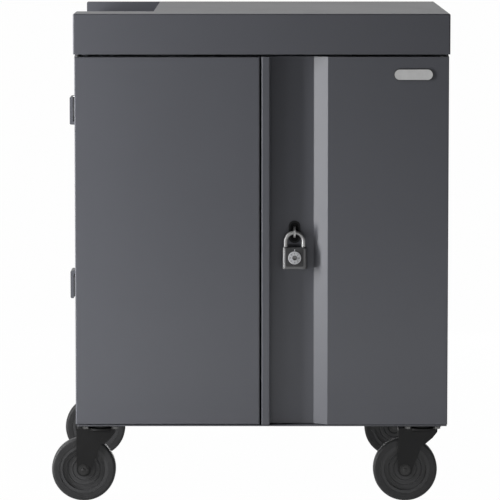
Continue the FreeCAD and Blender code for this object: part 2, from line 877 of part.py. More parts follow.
def make_cord_hooks():
    # The upper hook turns up and the lower one turns down, so a cord wraps round both.
    body = new_body("cord_hooks")
    wall = -cabinet_half
    tip = wall - d.hook_reach
    plate = wall - d.hook_thickness
    hooks = []
    corners = []
    for turn, arm in ((1, lower_hook_level + d.hook_spacing), (-1, lower_hook_level)):
        end = arm + turn * d.hook_height
        inside = arm + turn * d.hook_bar
        hooks.append([(wall, arm), (wall, end), (plate, end), (plate, inside),
                      (tip + d.hook_bar, inside), (tip + d.hook_bar, end), (tip, end), (tip, arm)])
        corners += [{"x": tip, "z": arm}, {"x": tip, "z": end}]
    half = d.hook_width / 2
    pad(body, "Y", hook_centre - half, hook_centre + half, *hooks)
    fillet(body, d.hook_radius, *corners)
    return place(body)


# Doors

def make_pivot_pins():
    body = new_body("door_pivot_pins")
    shafts = [Circle(x, y, pin_radius) for x, y in pivots]
    heads = [Circle(x, y, d.pin_head_diameter / 2) for x, y in pivots]
    pad(body, "Z", d.caster_height, door_bottom + d.pin_reach, *shafts)
    pad(body, "Z", door_top - d.pin_reach, deck_top, *shafts)
    pad(body, "Z", deck_top, deck_top + d.pin_head_height, *heads)
    return place(body)


def make_bushes(label, x, y):
    body = new_body(label)
    bore = Circle(x, y, pin_radius + d.running_fit)
    sleeve = Circle(x, y, d.bush_diameter / 2)
    collar = Circle(x, y, d.bush_flange_diameter / 2)
    pad(body, "Z", base_top + d.fit, door_bottom, collar, bore)
    pad(body, "Z", door_bottom, door_bottom + d.bush_length, sleeve, bore)
    pad(body, "Z", door_top - d.bush_length, door_top, sleeve, bore)
    pad(body, "Z", door_top, door_top + d.bush_flange, collar, bore)
    return place(body)


def drill_flanges(body, *holes):
    # Holes through a door's top and bottom flanges.
    pocket(body, "Z", door_bottom, door_bottom + d.sheet, *holes)
    pocket(body, "Z", door_top - d.sheet, door_top, *holes)


def pan_inside(left, right, skin, rim, outside):
    # Plan of a pan's hollow, which leaves a skin and a return flange along each upright edge.
    lip = d.door_return
    return [(left + d.sheet, skin), (right - d.sheet, skin), (right - d.sheet, rim), (right - lip, rim),
            (right - lip, outside), (left + lip, outside), (left + lip, rim), (left + d.sheet, rim)]


def make_left_door():
    body = new_body("left_door_panel")
    pad(body, "Z", door_bottom, door_top, rectangle(-door_outer, door_front, left_free, door_back))
    fillet(body, d.door_radius, {"x": -door_outer, "y": door_front}, {"x": left_free, "y": door_front},
           {"y": door_front, "z": door_bottom}, {"y": door_front, "z": door_top})
    pocket(body, "Z", door_bottom + d.sheet, door_top - d.sheet,
           pan_inside(-door_outer, left_free, door_front + d.sheet, door_back - d.sheet, door_back + PAST))
    drill_flanges(body, Circle(-pivot_x, pivot_y, bush_hole), Circle(bolt_x, bolt_y, bolt_hole))
    return place(body)


def make_right_door():
    # The plan outline steps back into the lock channel and slants out again along the facet.
    body = new_body("right_door_panel")
    wall = d.sheet
    pad(body, "Z", door_bottom, door_top,
        [(right_free, door_back), (door_outer, door_back), (door_outer, door_front),
         (facet_end, door_front), (facet_start, channel_floor), (channel_start, channel_floor),
         (channel_start, door_front), (right_free, door_front)])
    fillet(body, d.door_radius, {"x": door_outer, "y": door_front}, {"x": right_free, "y": door_front},
           {"x": channel_start, "y": door_front})
    slant = root(d.facet_run * d.facet_run + d.channel_depth * d.channel_depth)
    shift = wall * (slant - d.facet_run) / d.channel_depth
    behind = door_back + PAST
    pocket(body, "Z", door_bottom + wall, door_top - wall,
           [(right_free + wall, behind), (door_outer - d.door_return, behind),
            (door_outer - d.door_return, door_back - wall), (door_outer - wall, door_back - wall),
            (door_outer - wall, door_front + wall),
            (facet_end + shift, door_front + wall), (facet_start + shift, channel_floor + wall),
            (channel_start - wall, channel_floor + wall), (channel_start - wall, door_front + wall),
            (right_free + wall, door_front + wall)])
    drill_flanges(body, Circle(pivot_x, pivot_y, bush_hole))
    half_width = d.eye_slot_width / 2
    half_height = d.eye_slot_height / 2
    pocket(body, "Y", channel_floor, channel_floor + wall,
           rectangle(d.lock_offset - half_width, lock_eye_level - half_height,
                     d.lock_offset + half_width, lock_eye_level + half_height))
    return place(body)


def make_stiffener(label, x0):
    body = new_body(label)
    x1 = x0 + d.stiffener_width
    front = door_front + d.sheet
    web = door_back - d.sheet
    pad(body, "Z", door_bottom + d.sheet, door_top - d.sheet,
        [(x0, front), (x0, door_back), (x1, door_back), (x1, front), (x1 - d.sheet, front),
         (x1 - d.sheet, web), (x0 + d.sheet, web), (x0 + d.sheet, front)])
    return place(body)


def make_magnet_catches():
    body = new_body("magnet_catches")
    top = deck_bottom - d.catch_drop
    front = door_back + d.catch_gap
    half = d.stiffener_width / 2
    middles = [-d.left_stiffener_offset - half, d.right_stiffener_offset + half]
    blocks = [rectangle(x - d.catch_width / 2, front, x + d.catch_width / 2, deck_flange_front)
              for x in middles]
    pad(body, "Z", top - d.catch_height, top, *blocks)
    return place(body)


deck_flange_front = cabinet_front + d.deck_flange_setback
upper_bolt_top = door_top - 2 * d.sheet
lower_bolt_foot = door_bottom + 2 * d.sheet + PAST
# the knob stays clear of the guide over the whole travel
bolt_knob_drop = d.guide_drop + d.guide_height + d.bolt_travel + d.bolt_knob_gap + d.bolt_knob_diameter / 2
bolt_length = bolt_knob_drop + d.bolt_tail


def make_bolt_guides():
    body = new_body("bolt_guides")
    front = door_front + d.sheet
    block = rectangle(bolt_x - d.guide_width / 2, front, bolt_x + d.guide_width / 2, bolt_y + d.guide_back)
    bore = Circle(bolt_x, bolt_y, d.bolt_diameter / 2 + d.running_fit)
    upper = upper_bolt_top - d.guide_drop
    lower = lower_bolt_foot + d.guide_drop
    pad(body, "Z", upper - d.guide_height, upper, block, bore)
    pad(body, "Z", lower, lower + d.guide_height, block, bore)
    return place(body)


def make_shoot_bolt(label, end, turn):
    # A rod that slides out of the door's end, with a finger knob near its other end.
    body = new_body(label)
    pad(body, "Z", end, end - turn * bolt_length, Circle(bolt_x, bolt_y, d.bolt_diameter / 2))
    pad(body, "Y", bolt_y, bolt_y + d.bolt_knob_reach,
        Circle(bolt_x, end - turn * bolt_knob_drop, d.bolt_knob_diameter / 2))
    return place(body)


# Padlock

eye_y = channel_floor - d.case_back_gap - d.case_depth / 2
rod_radius = d.shackle_rod / 2
crown_radius = (d.shackle_width - d.shackle_rod) / 2
rod_level = lock_eye_level - d.eye_diameter / 2 + rod_radius + d.shackle_seat_gap
shackle_bend = rod_level - crown_radius
case_top = shackle_bend - d.shackle_leg
case_bottom = case_top - d.case_height
case_front = eye_y - d.case_depth / 2


def make_lock_staple():
    body = new_body("lock_staple")
    x, z = d.lock_offset, lock_eye_level
    back = channel_floor + d.sheet
    pad(body, "Y", back, back + d.base_sheet,
        rectangle(x - d.eye_foot_width / 2, z - d.eye_foot_height / 2,
                  x + d.eye_foot_width / 2, z + d.eye_foot_height / 2))
    pad(body, "X", x - d.eye_plate / 2, x + d.eye_plate / 2,
        rectangle(eye_y - d.eye_reach, z - d.eye_plate_height / 2, back, z + d.eye_plate_height / 2))
    fillet(body, d.eye_reach - PAST, {"y": eye_y - d.eye_reach, "z": z - d.eye_plate_height / 2},
           {"y": eye_y - d.eye_reach, "z": z + d.eye_plate_height / 2})
    pocket(body, "X", x - d.eye_plate / 2, x + d.eye_plate / 2, Circle(eye_y, z, d.eye_diameter / 2))
    return place(body)


def make_padlock_shackle():
    # A rod bent to a half ring, with a long heel leg and a short toe leg.
    body = new_body("padlock_shackle")
    path = body.newObject("Sketcher::SketchObject", "shackle_path")
    path.AttachmentSupport = (origin_feature(body, "XZ_Plane"), [""])
    path.MapMode = "FlatFace"
    bind(path, "AttachmentOffset.Base.z", -eye_y)
    heel_end = case_top - d.shackle_heel
    toe_end = case_top - d.shackle_toe
    left = d.lock_offset - crown_radius
    right = d.lock_offset + crown_radius
    corner = FreeCAD.Vector
    bend = corner(d.lock_offset.value, shackle_bend.value, 0)
    ring = Part.Circle(bend, corner(0, 0, 1), crown_radius.value)
    path.addGeometry(Part.LineSegment(corner(left.value, heel_end.value, 0),
                                      corner(left.value, shackle_bend.value, 0)), False)
    path.addGeometry(Part.ArcOfCircle(ring, 0, math.pi), False)
    path.addGeometry(Part.LineSegment(corner(right.value, shackle_bend.value, 0),
                                      corner(right.value, toe_end.value, 0)), False)
    path.addConstraint(Sketcher.Constraint("Coincident", 0, 2, 1, 2))
    path.addConstraint(Sketcher.Constraint("Coincident", 1, 1, 2, 1))
    hold(path, "DistanceY", 1, 3, shackle_bend)
    at(path, 0, 1, left, heel_end)
    at(path, 0, 2, left, shackle_bend)
    at(path, 2, 1, right, shackle_bend)
    at(path, 2, 2, right, toe_end)
    section = new_sketch(body, "Z", heel_end, [Circle(left, eye_y, rod_radius)])
    pipe = body.newObject("PartDesign::AdditivePipe", "shackle_rod")
    pipe.Profile = section
    pipe.Spine = (path, ["Edge1", "Edge2", "Edge3"])
    return place(body)


def make_padlock_case():
    body = new_body("padlock_case")
    x, half = d.lock_offset, d.case_width / 2
    back = case_front + d.case_depth
    pad(body, "Z", case_bottom, case_top, rectangle(x - half, case_front, x + half, back))
    corners = [{"x": x + side * half, "y": y} for side in (-1, 1) for y in (case_front, back)]
    fillet(body, d.case_radius, *corners)
    fillet(body, d.case_edge, {"z": case_bottom}, {"z": case_top})
    hole = rod_radius + d.running_fit
    heel_floor = case_top - d.shackle_heel - d.case_radius
    pocket(body, "Z", heel_floor, case_top, Circle(x - crown_radius, eye_y, hole))
    pocket(body, "Z", case_top - d.shackle_toe - d.shackle_seat_gap, case_top,
           Circle(x + crown_radius, eye_y, hole))
    pocket(body, "Y", case_front, case_front + d.dial_hub_depth,
           Circle(x, case_top - d.dial_drop, d.dial_hub_diameter / 2 + d.running_fit))
    return place(body)


def make_padlock_dial():
    body = new_body("padlock_dial")
    x, z = d.lock_offset, case_top - d.dial_drop
    face = case_front - d.fit
    pad(body, "Y", face - d.dial_thickness, face, Circle(x, z, d.dial_diameter / 2))
    pad(body, "Y", face, case_front + d.dial_hub_depth - d.fit, Circle(x, z, d.dial_hub_diameter / 2))
    fillet(body, d.dial_thickness / 4, {"y": face - d.dial_thickness})
    return place(body)


def make_badge_plate():
    body = new_body("badge_plate")
    pad(body, "Y", door_front - d.badge_thickness, door_front,
        Slot(d.badge_offset, door_top - d.badge_drop, d.badge_width, d.badge_height))
    return place(body)


# Rear door and its lock

cam_rear = rear_door_back - d.lock_barrel_length - d.rear_door_standoff - d.fit
cam_front = cam_rear - d.cam_thickness


def make_rear_door():
    body = new_body("rear_door_panel")
    half = rear_door_half
    pad(body, "Z", door_bottom, door_top, rectangle(-half, rear_door_front, half, rear_door_back))
    fillet(body, d.door_radius, {"x": -half, "y": rear_door_back}, {"x": half, "y": rear_door_back},
           {"y": rear_door_back, "z": door_bottom}, {"y": rear_door_back, "z": door_top})
    pocket(body, "Z", door_bottom + d.sheet, door_top - d.sheet,
           pan_inside(-half, half, rear_door_back - d.sheet, rear_door_front + d.sheet,
                      rear_door_front - PAST))
    drill_flanges(body, Circle(rear_pivot_x, rear_pivot_y, bush_hole))
    skin = (rear_door_back - d.sheet, rear_door_back)
    pocket(body, "Y", *skin,
           Circle(-d.rear_lock_offset, rear_lock_level, d.lock_barrel_diameter / 2 + d.fit))
    for tier in range(2):
        level = louvre_level + tier * d.louvre_tier_spacing
        louvre = pocket(body, "Y", *skin,
                        Slot(-d.louvre_spacing / 2, level, d.louvre_length, d.louvre_width))
        columns = ("X", d.louvre_spacing, 2)
        row_of(body, [louvre], "Z", d.louvre_pitch, d.louvre_count, columns)
    return place(body)


def make_rear_lock_body():
    body = new_body("rear_lock_body")
    x, z = -d.rear_lock_offset, rear_lock_level
    bore = Circle(x, z, d.lock_plug_diameter / 2 + d.running_fit)
    pad(body, "Y", rear_door_back, rear_door_back + d.lock_flange,
        Circle(x, z, d.lock_flange_diameter / 2), bore)
    pad(body, "Y", rear_door_back - d.lock_barrel_length, rear_door_back,
        Circle(x, z, d.lock_barrel_diameter / 2), bore)
    return place(body)


def make_rear_lock_cam():
    # The key plug and its cam, which hangs down while the lock is open.
    body = new_body("rear_lock_cam")
    x, z = -d.rear_lock_offset, rear_lock_level
    half = d.cam_width / 2
    pad(body, "Y", cam_front, cam_rear, rectangle(x - half, z - d.cam_length, x + half, z + half))
    face = rear_door_back + d.lock_flange
    pad(body, "Y", cam_rear, face, Circle(x, z, d.lock_plug_diameter / 2))
    key_slot = rectangle(x - d.key_slot_width / 2, z - d.key_slot_height / 2,
                         x + d.key_slot_width / 2, z + d.key_slot_height / 2)
    pocket(body, "Y", face - d.key_slot_depth, face, key_slot)
    return place(body)


# Casters. Each is drawn about its own swivel axis.

def caster_bolt_places():
    x, y = d.bolt_pattern_length / 2, d.bolt_pattern_width / 2
    return [(sx * x - swivel_x, sy * y - swivel_y) for sx in (-1, 1) for sy in (-1, 1)]


def caster_bolt_circles(slack):
    return [Circle(x, y, d.caster_bolt_diameter / 2 + slack) for x, y in caster_bolt_places()]


def at_each_caster(body, features):
    row_of(body, features, "X", 2 * swivel_x, 2, ("Y", 2 * swivel_y, 2))


def make_caster_plates():
    body = new_body("caster_plates")
    half_length, half_width = d.caster_plate_length / 2, d.caster_plate_width / 2
    bore = Circle(-swivel_x, -swivel_y, d.kingpin_diameter / 2 + d.fit)
    race = pad(body, "Z", plate_bottom - d.race_height, plate_bottom,
               Circle(-swivel_x, -swivel_y, d.race_diameter / 2), bore)
    plate = pad(body, "Z", plate_bottom, d.caster_height,
                rectangle(-swivel_x - half_length, -swivel_y - half_width,
                          half_length - swivel_x, half_width - swivel_y),
                bore, *caster_bolt_circles(d.fit))
    at_each_caster(body, [race, plate])
    return place(body)


def make_caster_bolts():
    body = new_body("caster_bolts")
    heads = [hexagon(x, y, d.caster_bolt_head) for x, y in caster_bolt_places()]
    head = pad(body, "Z", plate_bottom - d.caster_bolt_head_height, plate_bottom, *heads)
    shaft = pad(body, "Z", plate_bottom, base_top, *caster_bolt_circles(0))
    at_each_caster(body, [head, shaft])
    return place(body)


def make_kingpins():
    body = new_body("kingpins")
    head_top = crown_bottom - d.swivel_gap
    head = pad(body, "Z", head_top - d.kingpin_head_height, head_top,
               Circle(-swivel_x, -swivel_y, d.kingpin_head_diameter / 2))
    shaft = pad(body, "Z", head_top, d.caster_height, Circle(-swivel_x, -swivel_y, d.kingpin_diameter / 2))
    at_each_caster(body, [head, shaft])
    return place(body)


pedal_x = d.pedal_pivot_offset
pedal_z = d.caster_height - d.pedal_pivot_drop
pedal_hub = d.pedal_hub_diameter / 2


def make_fork(label, x, y, braked):
    body = new_body(label)
    bore = d.kingpin_diameter / 2 + d.running_fit
    rim = d.crown_diameter / 2
    bevel = d.crown_chamfer
    revolve(body, "Z", [(bore, crown_bottom), (rim - bevel, crown_bottom), (rim, crown_bottom + bevel),
                        (rim, crown_top - bevel), (rim - bevel, crown_top), (bore, crown_top)])
    knee = (d.leg_knee_lead, crown_top - d.leg_knee_drop)
    boss = d.axle_boss_diameter / 2
    back = -d.trail - boss
    shoulder = crown_top - bevel
    # a bridge joins the legs, and each leg narrows from it to a round boss at the axle
    pad(body, "Z", crown_bottom, shoulder,
        rectangle(back, -leg_outer, d.leg_lead, leg_outer), Circle(0, 0, bore))
    leg = [(back, shoulder), (d.leg_lead, shoulder), knee, (boss - d.trail, wheel_radius),
           (back, wheel_radius)]
    ear = [(d.leg_lead, shoulder), (pedal_x + d.pedal_ear, pedal_z + d.pedal_ear),
           (pedal_x + d.pedal_ear, pedal_z - d.pedal_ear), knee, (0, shoulder)]
    for side in (-1, 1):
        pad(body, "Y", side * leg_inner, side * leg_outer, leg)
        pad(body, "Y", side * leg_inner, side * leg_outer, Circle(-d.trail, wheel_radius, boss))
        if braked:
            pad(body, "Y", side * leg_inner, side * leg_outer, ear)
    pocket(body, "Y", -leg_outer, leg_outer, Circle(-d.trail, wheel_radius, d.axle_diameter / 2 + d.fit))
    if braked:
        pocket(body, "Y", -leg_outer, leg_outer,
               Circle(pedal_x, pedal_z, d.pedal_pin_diameter / 2 + d.running_fit))
    return place(body, x, y)


def make_axle(label, x, y):
    body = new_body(label)
    pad(body, "Y", -leg_outer, leg_outer, Circle(0, 0, d.axle_diameter / 2))
    head = leg_outer + d.axle_head_height
    for side in (-1, 1):
        pad(body, "Y", side * leg_outer, side * head, hexagon(0, 0, d.axle_head))
    return place(body, x - d.trail, y, wheel_radius)


def make_core(label, x, y):
    # A moulded centre: hub, thin web and rim.
    body = new_body(label)
    bore = d.axle_diameter / 2 + d.running_fit
    hub = d.hub_diameter / 2
    rim_outer = d.core_diameter / 2
    rim_inner = rim_outer - d.core_rim
    hub_half = d.wheel_width / 2 + d.hub_overhang
    web = d.core_web / 2
    rim_half = d.wheel_width / 2 - d.core_rim_setback
    revolve(body, "Y", [(bore, -hub_half), (hub, -hub_half), (hub, -web), (rim_inner, -web),
                        (rim_inner, -rim_half), (rim_outer, -rim_half), (rim_outer, rim_half),
                        (rim_inner, rim_half), (rim_inner, web), (hub, web), (hub, hub_half),
                        (bore, hub_half)])
    return place(body, x - d.trail, y, wheel_radius)


def make_tyre(label, x, y):
    body = new_body(label)
    inner = d.core_diameter / 2 + d.tyre_gap
    half = d.wheel_width / 2
    revolve(body, "Y", rectangle(inner, -half, wheel_radius, half))
    fillet(body, d.tyre_shoulder, {"radius": wheel_radius, "y": -half}, {"radius": wheel_radius, "y": half})
    return place(body, x - d.trail, y, wheel_radius)


def make_brake_pedal(label, x, y):
    # The paddle stands out over the leading side. Pressing it brings the tooth close to the tread.
    body = new_body(label)
    half = leg_inner - d.pedal_side_gap
    pad(body, "Y", -half, half, Circle(0, 0, pedal_hub))
    pad(body, "Y", -leg_outer, leg_outer, Circle(0, 0, d.pedal_pin_diameter / 2))
    top = pedal_hub
    tip = d.pedal_length
    pad(body, "Y", -half, half,
        [(0, top), (tip, top + d.pedal_lift), (tip, top + d.pedal_lift - d.pedal_thickness),
         (0, top - d.pedal_thickness)])
    run, drop = pedal_x + d.trail, pedal_z - wheel_radius
    span = root(run * run + drop * drop)
    reach = span - wheel_radius - d.pedal_wheel_gap
    side = d.pedal_tooth / 2
    along, across = (-run / span, -drop / span), (drop / span, -run / span)
    corners = []
    for length, offset in ((0, side), (reach, side), (reach, -side), (0, -side)):
        u = along[0] * length + across[0] * offset
        v = along[1] * length + across[1] * offset
        corners.append(turned(sized(u), sized(v), d.pedal_swing))
    pad(body, "Y", -half, half, corners)
    return place(body, x + pedal_x, y, pedal_z)


CORNERS = {
    "front_left": (-swivel_x, -swivel_y),
    "front_right": (swivel_x, -swivel_y),
    "rear_left": (-swivel_x, swivel_y),
    "rear_right": (swivel_x, swivel_y),
}

parts = [
    make_base_pan(),
    make_corner_posts(),
    make_side_panel("left_side_panel", -1),
    make_side_panel("right_side_panel", 1),
    make_top_deck(),
    make_top_lid(),
    make_lid_rails(),
    make_handle_well(),
    make_push_handle(),
    make_shelf("lower_shelf", shelf_seat, flange=False),
    make_shelf("mid_shelf", mid_shelf_bottom, flange=True),
    make_dividers("lower_dividers", lower_shelf_top),
    make_dividers("upper_dividers", mid_shelf_top),
    make_bay_partition(),
    make_power_strips(),
    make_control_box(),
    make_power_inlet(),
    make_inlet_rocker(),
    make_cord_hooks(),
    make_pivot_pins(),
    make_left_door(),
    make_stiffener("left_door_stiffener", -d.left_stiffener_offset - d.stiffener_width),
    make_bushes("left_door_bushes", -pivot_x, pivot_y),
    make_bolt_guides(),
    make_shoot_bolt("upper_shoot_bolt", upper_bolt_top, 1),
    make_shoot_bolt("lower_shoot_bolt", lower_bolt_foot, -1),
    make_right_door(),
    make_stiffener("right_door_stiffener", d.right_stiffener_offset),
    make_bushes("right_door_bushes", pivot_x, pivot_y),
    make_magnet_catches(),
    make_lock_staple(),
    make_padlock_shackle(),
    make_padlock_case(),
    make_padlock_dial(),
    make_badge_plate(),
    make_rear_door(),
    make_bushes("rear_door_bushes", rear_pivot_x, rear_pivot_y),
    make_rear_lock_body(),
    make_rear_lock_cam(),
    make_caster_plates(),
    make_caster_bolts(),
    make_kingpins(),
]
for corner, (x, y) in CORNERS.items():
    braked = corner.startswith("rear")
    parts.append(make_fork(f"fork_{corner}", x, y, braked))
    parts.append(make_axle(f"axle_{corner}", x, y))
    parts.append(make_core(f"core_{corner}", x, y))
    parts.append(make_tyre(f"tyre_{corner}", x, y))
    if braked:
        parts.append(make_brake_pedal(f"brake_pedal_{corner}", x, y))

doc.recompute()
faulty = [item.Label for item in doc.Objects if "Invalid" in item.State or "Error" in item.State]
faulty += [part.Label for part in parts if part.Shape.isNull() or not part.Shape.isValid()]
if faulty:
    raise RuntimeError(f"not built: {faulty}")

os.makedirs("parts", exist_ok=True)
for part in parts:
    part.Shape.exportStep(f"parts/{part.Label}.step")
print(f"{len(parts)} parts written")
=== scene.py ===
import json
import math

import bmesh
import bpy
from mathutils import Matrix, Vector


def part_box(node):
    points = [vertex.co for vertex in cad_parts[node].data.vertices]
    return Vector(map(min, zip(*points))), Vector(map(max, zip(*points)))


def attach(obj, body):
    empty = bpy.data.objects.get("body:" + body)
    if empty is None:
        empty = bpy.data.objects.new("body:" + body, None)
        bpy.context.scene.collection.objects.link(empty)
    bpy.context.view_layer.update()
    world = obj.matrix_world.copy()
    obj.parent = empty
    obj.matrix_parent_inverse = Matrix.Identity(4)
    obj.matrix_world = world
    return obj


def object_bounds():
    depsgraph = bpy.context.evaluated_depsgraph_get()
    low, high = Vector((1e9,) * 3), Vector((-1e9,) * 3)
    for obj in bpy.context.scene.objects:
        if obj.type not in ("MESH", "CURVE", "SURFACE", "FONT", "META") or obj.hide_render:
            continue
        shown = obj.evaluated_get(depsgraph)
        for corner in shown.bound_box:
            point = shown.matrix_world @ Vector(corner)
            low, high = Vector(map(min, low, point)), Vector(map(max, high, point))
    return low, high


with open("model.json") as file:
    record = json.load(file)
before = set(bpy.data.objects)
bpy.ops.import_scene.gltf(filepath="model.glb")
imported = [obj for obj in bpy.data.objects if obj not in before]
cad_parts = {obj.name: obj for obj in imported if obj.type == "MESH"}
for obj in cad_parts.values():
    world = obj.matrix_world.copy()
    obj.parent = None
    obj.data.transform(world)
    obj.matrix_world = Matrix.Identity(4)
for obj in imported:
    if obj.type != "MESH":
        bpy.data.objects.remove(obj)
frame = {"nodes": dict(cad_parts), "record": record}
cadLow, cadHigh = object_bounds()
nodes = frame["nodes"]
mm = 0.001
print("frame loaded:", len(nodes), "nodes")


# Shader maths

class Value:
    # an output socket that can be added and scaled like a number
    def __init__(self, paint, socket):
        self.paint = paint
        self.socket = socket

    def math(self, operation, first, second):
        return self.paint.node("ShaderNodeMath", {"operation": operation}, {0: first, 1: second})

    def atLeast(self, other):
        return self.math("MAXIMUM", self, other)

    def __add__(self, other):
        return self.math("ADD", self, other)

    def __radd__(self, other):
        return self.math("ADD", other, self)

    def __sub__(self, other):
        return self.math("SUBTRACT", self, other)

    def __rsub__(self, other):
        return self.math("SUBTRACT", other, self)

    def __mul__(self, other):
        return self.math("MULTIPLY", self, other)

    def __rmul__(self, other):
        return self.math("MULTIPLY", other, self)


class Paint:
    # the nodes of one material, or of the world
    def __init__(self, name, library=bpy.data.materials, shader="Principled BSDF", place="Object"):
        self.owner = library.new(name)
        self.owner.use_nodes = True
        self.tree = self.owner.node_tree
        self.shader = self.tree.nodes[shader]
        self.place = self.node("ShaderNodeTexCoord", output=place)

    def node(self, kind, settings=None, inputs=None, output=0):
        made = self.tree.nodes.new(kind)
        for key, value in (settings or {}).items():
            setattr(made, key, value)
        for key, value in (inputs or {}).items():
            self.feed(made.inputs[key], value)
        return Value(self, made.outputs[output])

    def feed(self, socket, value):
        if isinstance(value, Value):
            self.tree.links.new(value.socket, socket)
        else:
            socket.default_value = value

    def finish(self, **sockets):
        for name, value in sockets.items():
            self.feed(self.shader.inputs[name.replace("_", " ")], value)
        return self.owner

    def noise(self, size, detail=3.0, rough=0.55, stretch=None):
        # size is the width of one blotch in metres
        where = self.place
        if stretch:
            where = self.node("ShaderNodeMapping", None, {"Vector": self.place, "Scale": stretch})
        return self.node("ShaderNodeTexNoise", None,
                         {"Vector": where, "Scale": 1 / size, "Detail": detail, "Roughness": rough})

    def ramp(self, value, low, high, bottom=0.0, top=1.0):
        return self.node("ShaderNodeMapRange", {"clamp": True},
                         {"Value": value, "From Min": low, "From Max": high, "To Min": bottom, "To Max": top})

    def mix(self, mask, first, second):
        return self.node("ShaderNodeMix", {"data_type": "RGBA"}, {0: mask, 6: first, 7: second}, 2)

    def axis(self, letter):
        return self.node("ShaderNodeSeparateXYZ", None, {0: self.place}, "XYZ".index(letter))

    def bump(self, height, depth):
        return self.node("ShaderNodeBump", None, {"Height": height, "Distance": depth, "Strength": 1.0})


greenShare = 0.16  # how much of a blue tint the green channel takes


def grey(level, tint=0.0):
    return (level, level * (1 + tint * greenShare), level * (1 + tint), 1)


def shade(look, scale=1.0):
    return grey(look["colour"] * scale, look["tint"])


# Finishes

powder = {"colour": 0.084, "tint": 0.17, "rough": 0.37, "gloss": 0.21, "cloud": 0.22, "speck": 0.0016,
          "dust": 0.035, "peel": 0.0011, "depth": 0.000012}


def powderCoat(name, **changes):
    look = {**powder, **changes}
    paint = Paint(name)
    cloud = paint.noise(look["cloud"], 4.0)
    speck = paint.noise(look["speck"], 2.0)
    dust = paint.ramp(paint.noise(look["dust"], 6.0, 0.7), 0.52, 0.78)
    base = paint.mix(cloud, shade(look, 0.94), shade(look, 1.06))
    base = paint.mix(speck * 0.25, base, shade(look, 1.25))
    peel = paint.noise(look["peel"], 2.0, 0.4)
    return paint.finish(Base_Color=base, Roughness=look["rough"] + cloud * 0.06 + dust * 0.05,
                        Specular_IOR_Level=look["gloss"], Normal=paint.bump(peel, look["depth"]))


cabinetPaint = powderCoat("cabinetPaint")
framePaint = powderCoat("framePaint", colour=0.11, rough=0.44)


metal = {"colour": 0.5, "tint": 0.0, "rough": 0.28, "grain": (12, 12, 0.6), "line": 0.004, "stain": 0.012,
         "depth": 0.000008}


def brushedMetal(name, **changes):
    look = {**metal, **changes}
    paint = Paint(name)
    lines = paint.noise(look["line"], 3.0, 0.6, look["grain"])
    stain = paint.noise(look["stain"], 4.0)
    return paint.finish(Base_Color=paint.mix(stain, shade(look, 0.86), shade(look, 1.05)), Metallic=1.0,
                        Roughness=look["rough"] + lines * 0.16, Normal=paint.bump(lines, look["depth"]))


zincSteel = brushedMetal("zincSteel")
darkZinc = brushedMetal("darkZinc", colour=0.1, rough=0.36)
axleSteel = brushedMetal("axleSteel", colour=0.042, rough=0.42)
# the pivot pins are near black: painted shade, so they read dark in the gap under the lid
pinSteelShade = brushedMetal("pinSteelShade", colour=0.02, rough=0.5)
shackleSteel = brushedMetal("shackleSteel", colour=0.28, rough=0.46)
badgeSilver = brushedMetal("badgeSilver", colour=0.58, rough=0.34, grain=(0.4, 9, 14))


plastic = {"colour": 0.018, "tint": 0.05, "dusty": 0.05, "dust": 0.4, "rough": 0.42, "gloss": 0.4,
           "grain": 0.0009, "depth": 0.00003, "blotch": 0.018}


def moulded(name, **changes):
    # moulded plastic or rubber with a fine grain and a little dust in it
    look = {**plastic, **changes}
    paint = Paint(name)
    grain = paint.noise(look["grain"], 2.0, 0.5)
    dust = paint.ramp(paint.noise(look["blotch"], 6.0, 0.68), 0.45, 0.85)
    base = paint.mix(dust * look["dust"], shade(look), grey(look["dusty"], look["tint"]))
    return paint.finish(Base_Color=base, Roughness=look["rough"] + dust * 0.12,
                        Specular_IOR_Level=look["gloss"], Normal=paint.bump(grain, look["depth"]))


blackPlastic = moulded("blackPlastic")
greyPlastic = moulded("greyPlastic", colour=0.1, dusty=0.14, rough=0.5)
pedalPlastic = moulded("pedalPlastic", grain=0.0014)
handleGrip = moulded("handleGrip", colour=0.022, rough=0.5, grain=0.0018)
casterPaint = moulded("casterPaint", colour=0.005, dusty=0.014, rough=0.44, gloss=0.18, grain=0.0024,
                      depth=0.00001)
wheelCore = moulded("wheelCore", colour=0.028, rough=0.44, gloss=0.32)
wheelTyre = moulded("wheelTyre", dusty=0.042, dust=0.6, rough=0.5, gloss=0.26)
# the nylon bushes are near black: painted shade, so they read dark in the gap under the lid
nylonBushShade = moulded("nylonBushShade", colour=0.02, rough=0.38)
dialFace = moulded("dialFace", colour=0.5, dusty=0.42, rough=0.34)
# the case is grey under a near-black face plate: the grey is partly painted light, lightening the case's
# rounded sides as if lit from the left
lockGreyAndSheen = moulded("lockGreyAndSheen", colour=0.066, dusty=0.09, rough=0.28, gloss=0.6, grain=0.0006, depth=0.000008)
lockBlack = moulded("lockBlack", colour=0.024, dusty=0.045, rough=0.4, gloss=0.3)
slotBlack = moulded("slotBlack", colour=0.024, dusty=0.034, rough=0.6, gloss=0.08)
markWhite = moulded("markWhite", colour=0.62, dusty=0.5, rough=0.45)


def greenLens():
    paint = Paint("lensGreen")
    haze = paint.noise(0.002, 2.0)
    base = paint.mix(haze, (0.02, 0.22, 0.05, 1), (0.03, 0.3, 0.07, 1))
    return paint.finish(Base_Color=base, Roughness=0.2 + haze * 0.1)


lensGreen = greenLens()


channelDeep = 20  # behind the front of the right door
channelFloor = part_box("right_door_panel")[0].y + channelDeep * mm
# the foot colour is painted shade: near black where the foot shows through the slot behind the shackle
staple = {"worn": 0.2, "bright": 0.34, "foot": 0.01, "fade": 2, "rub": 0.003, "rough": 0.34, "gloss": 0.1}


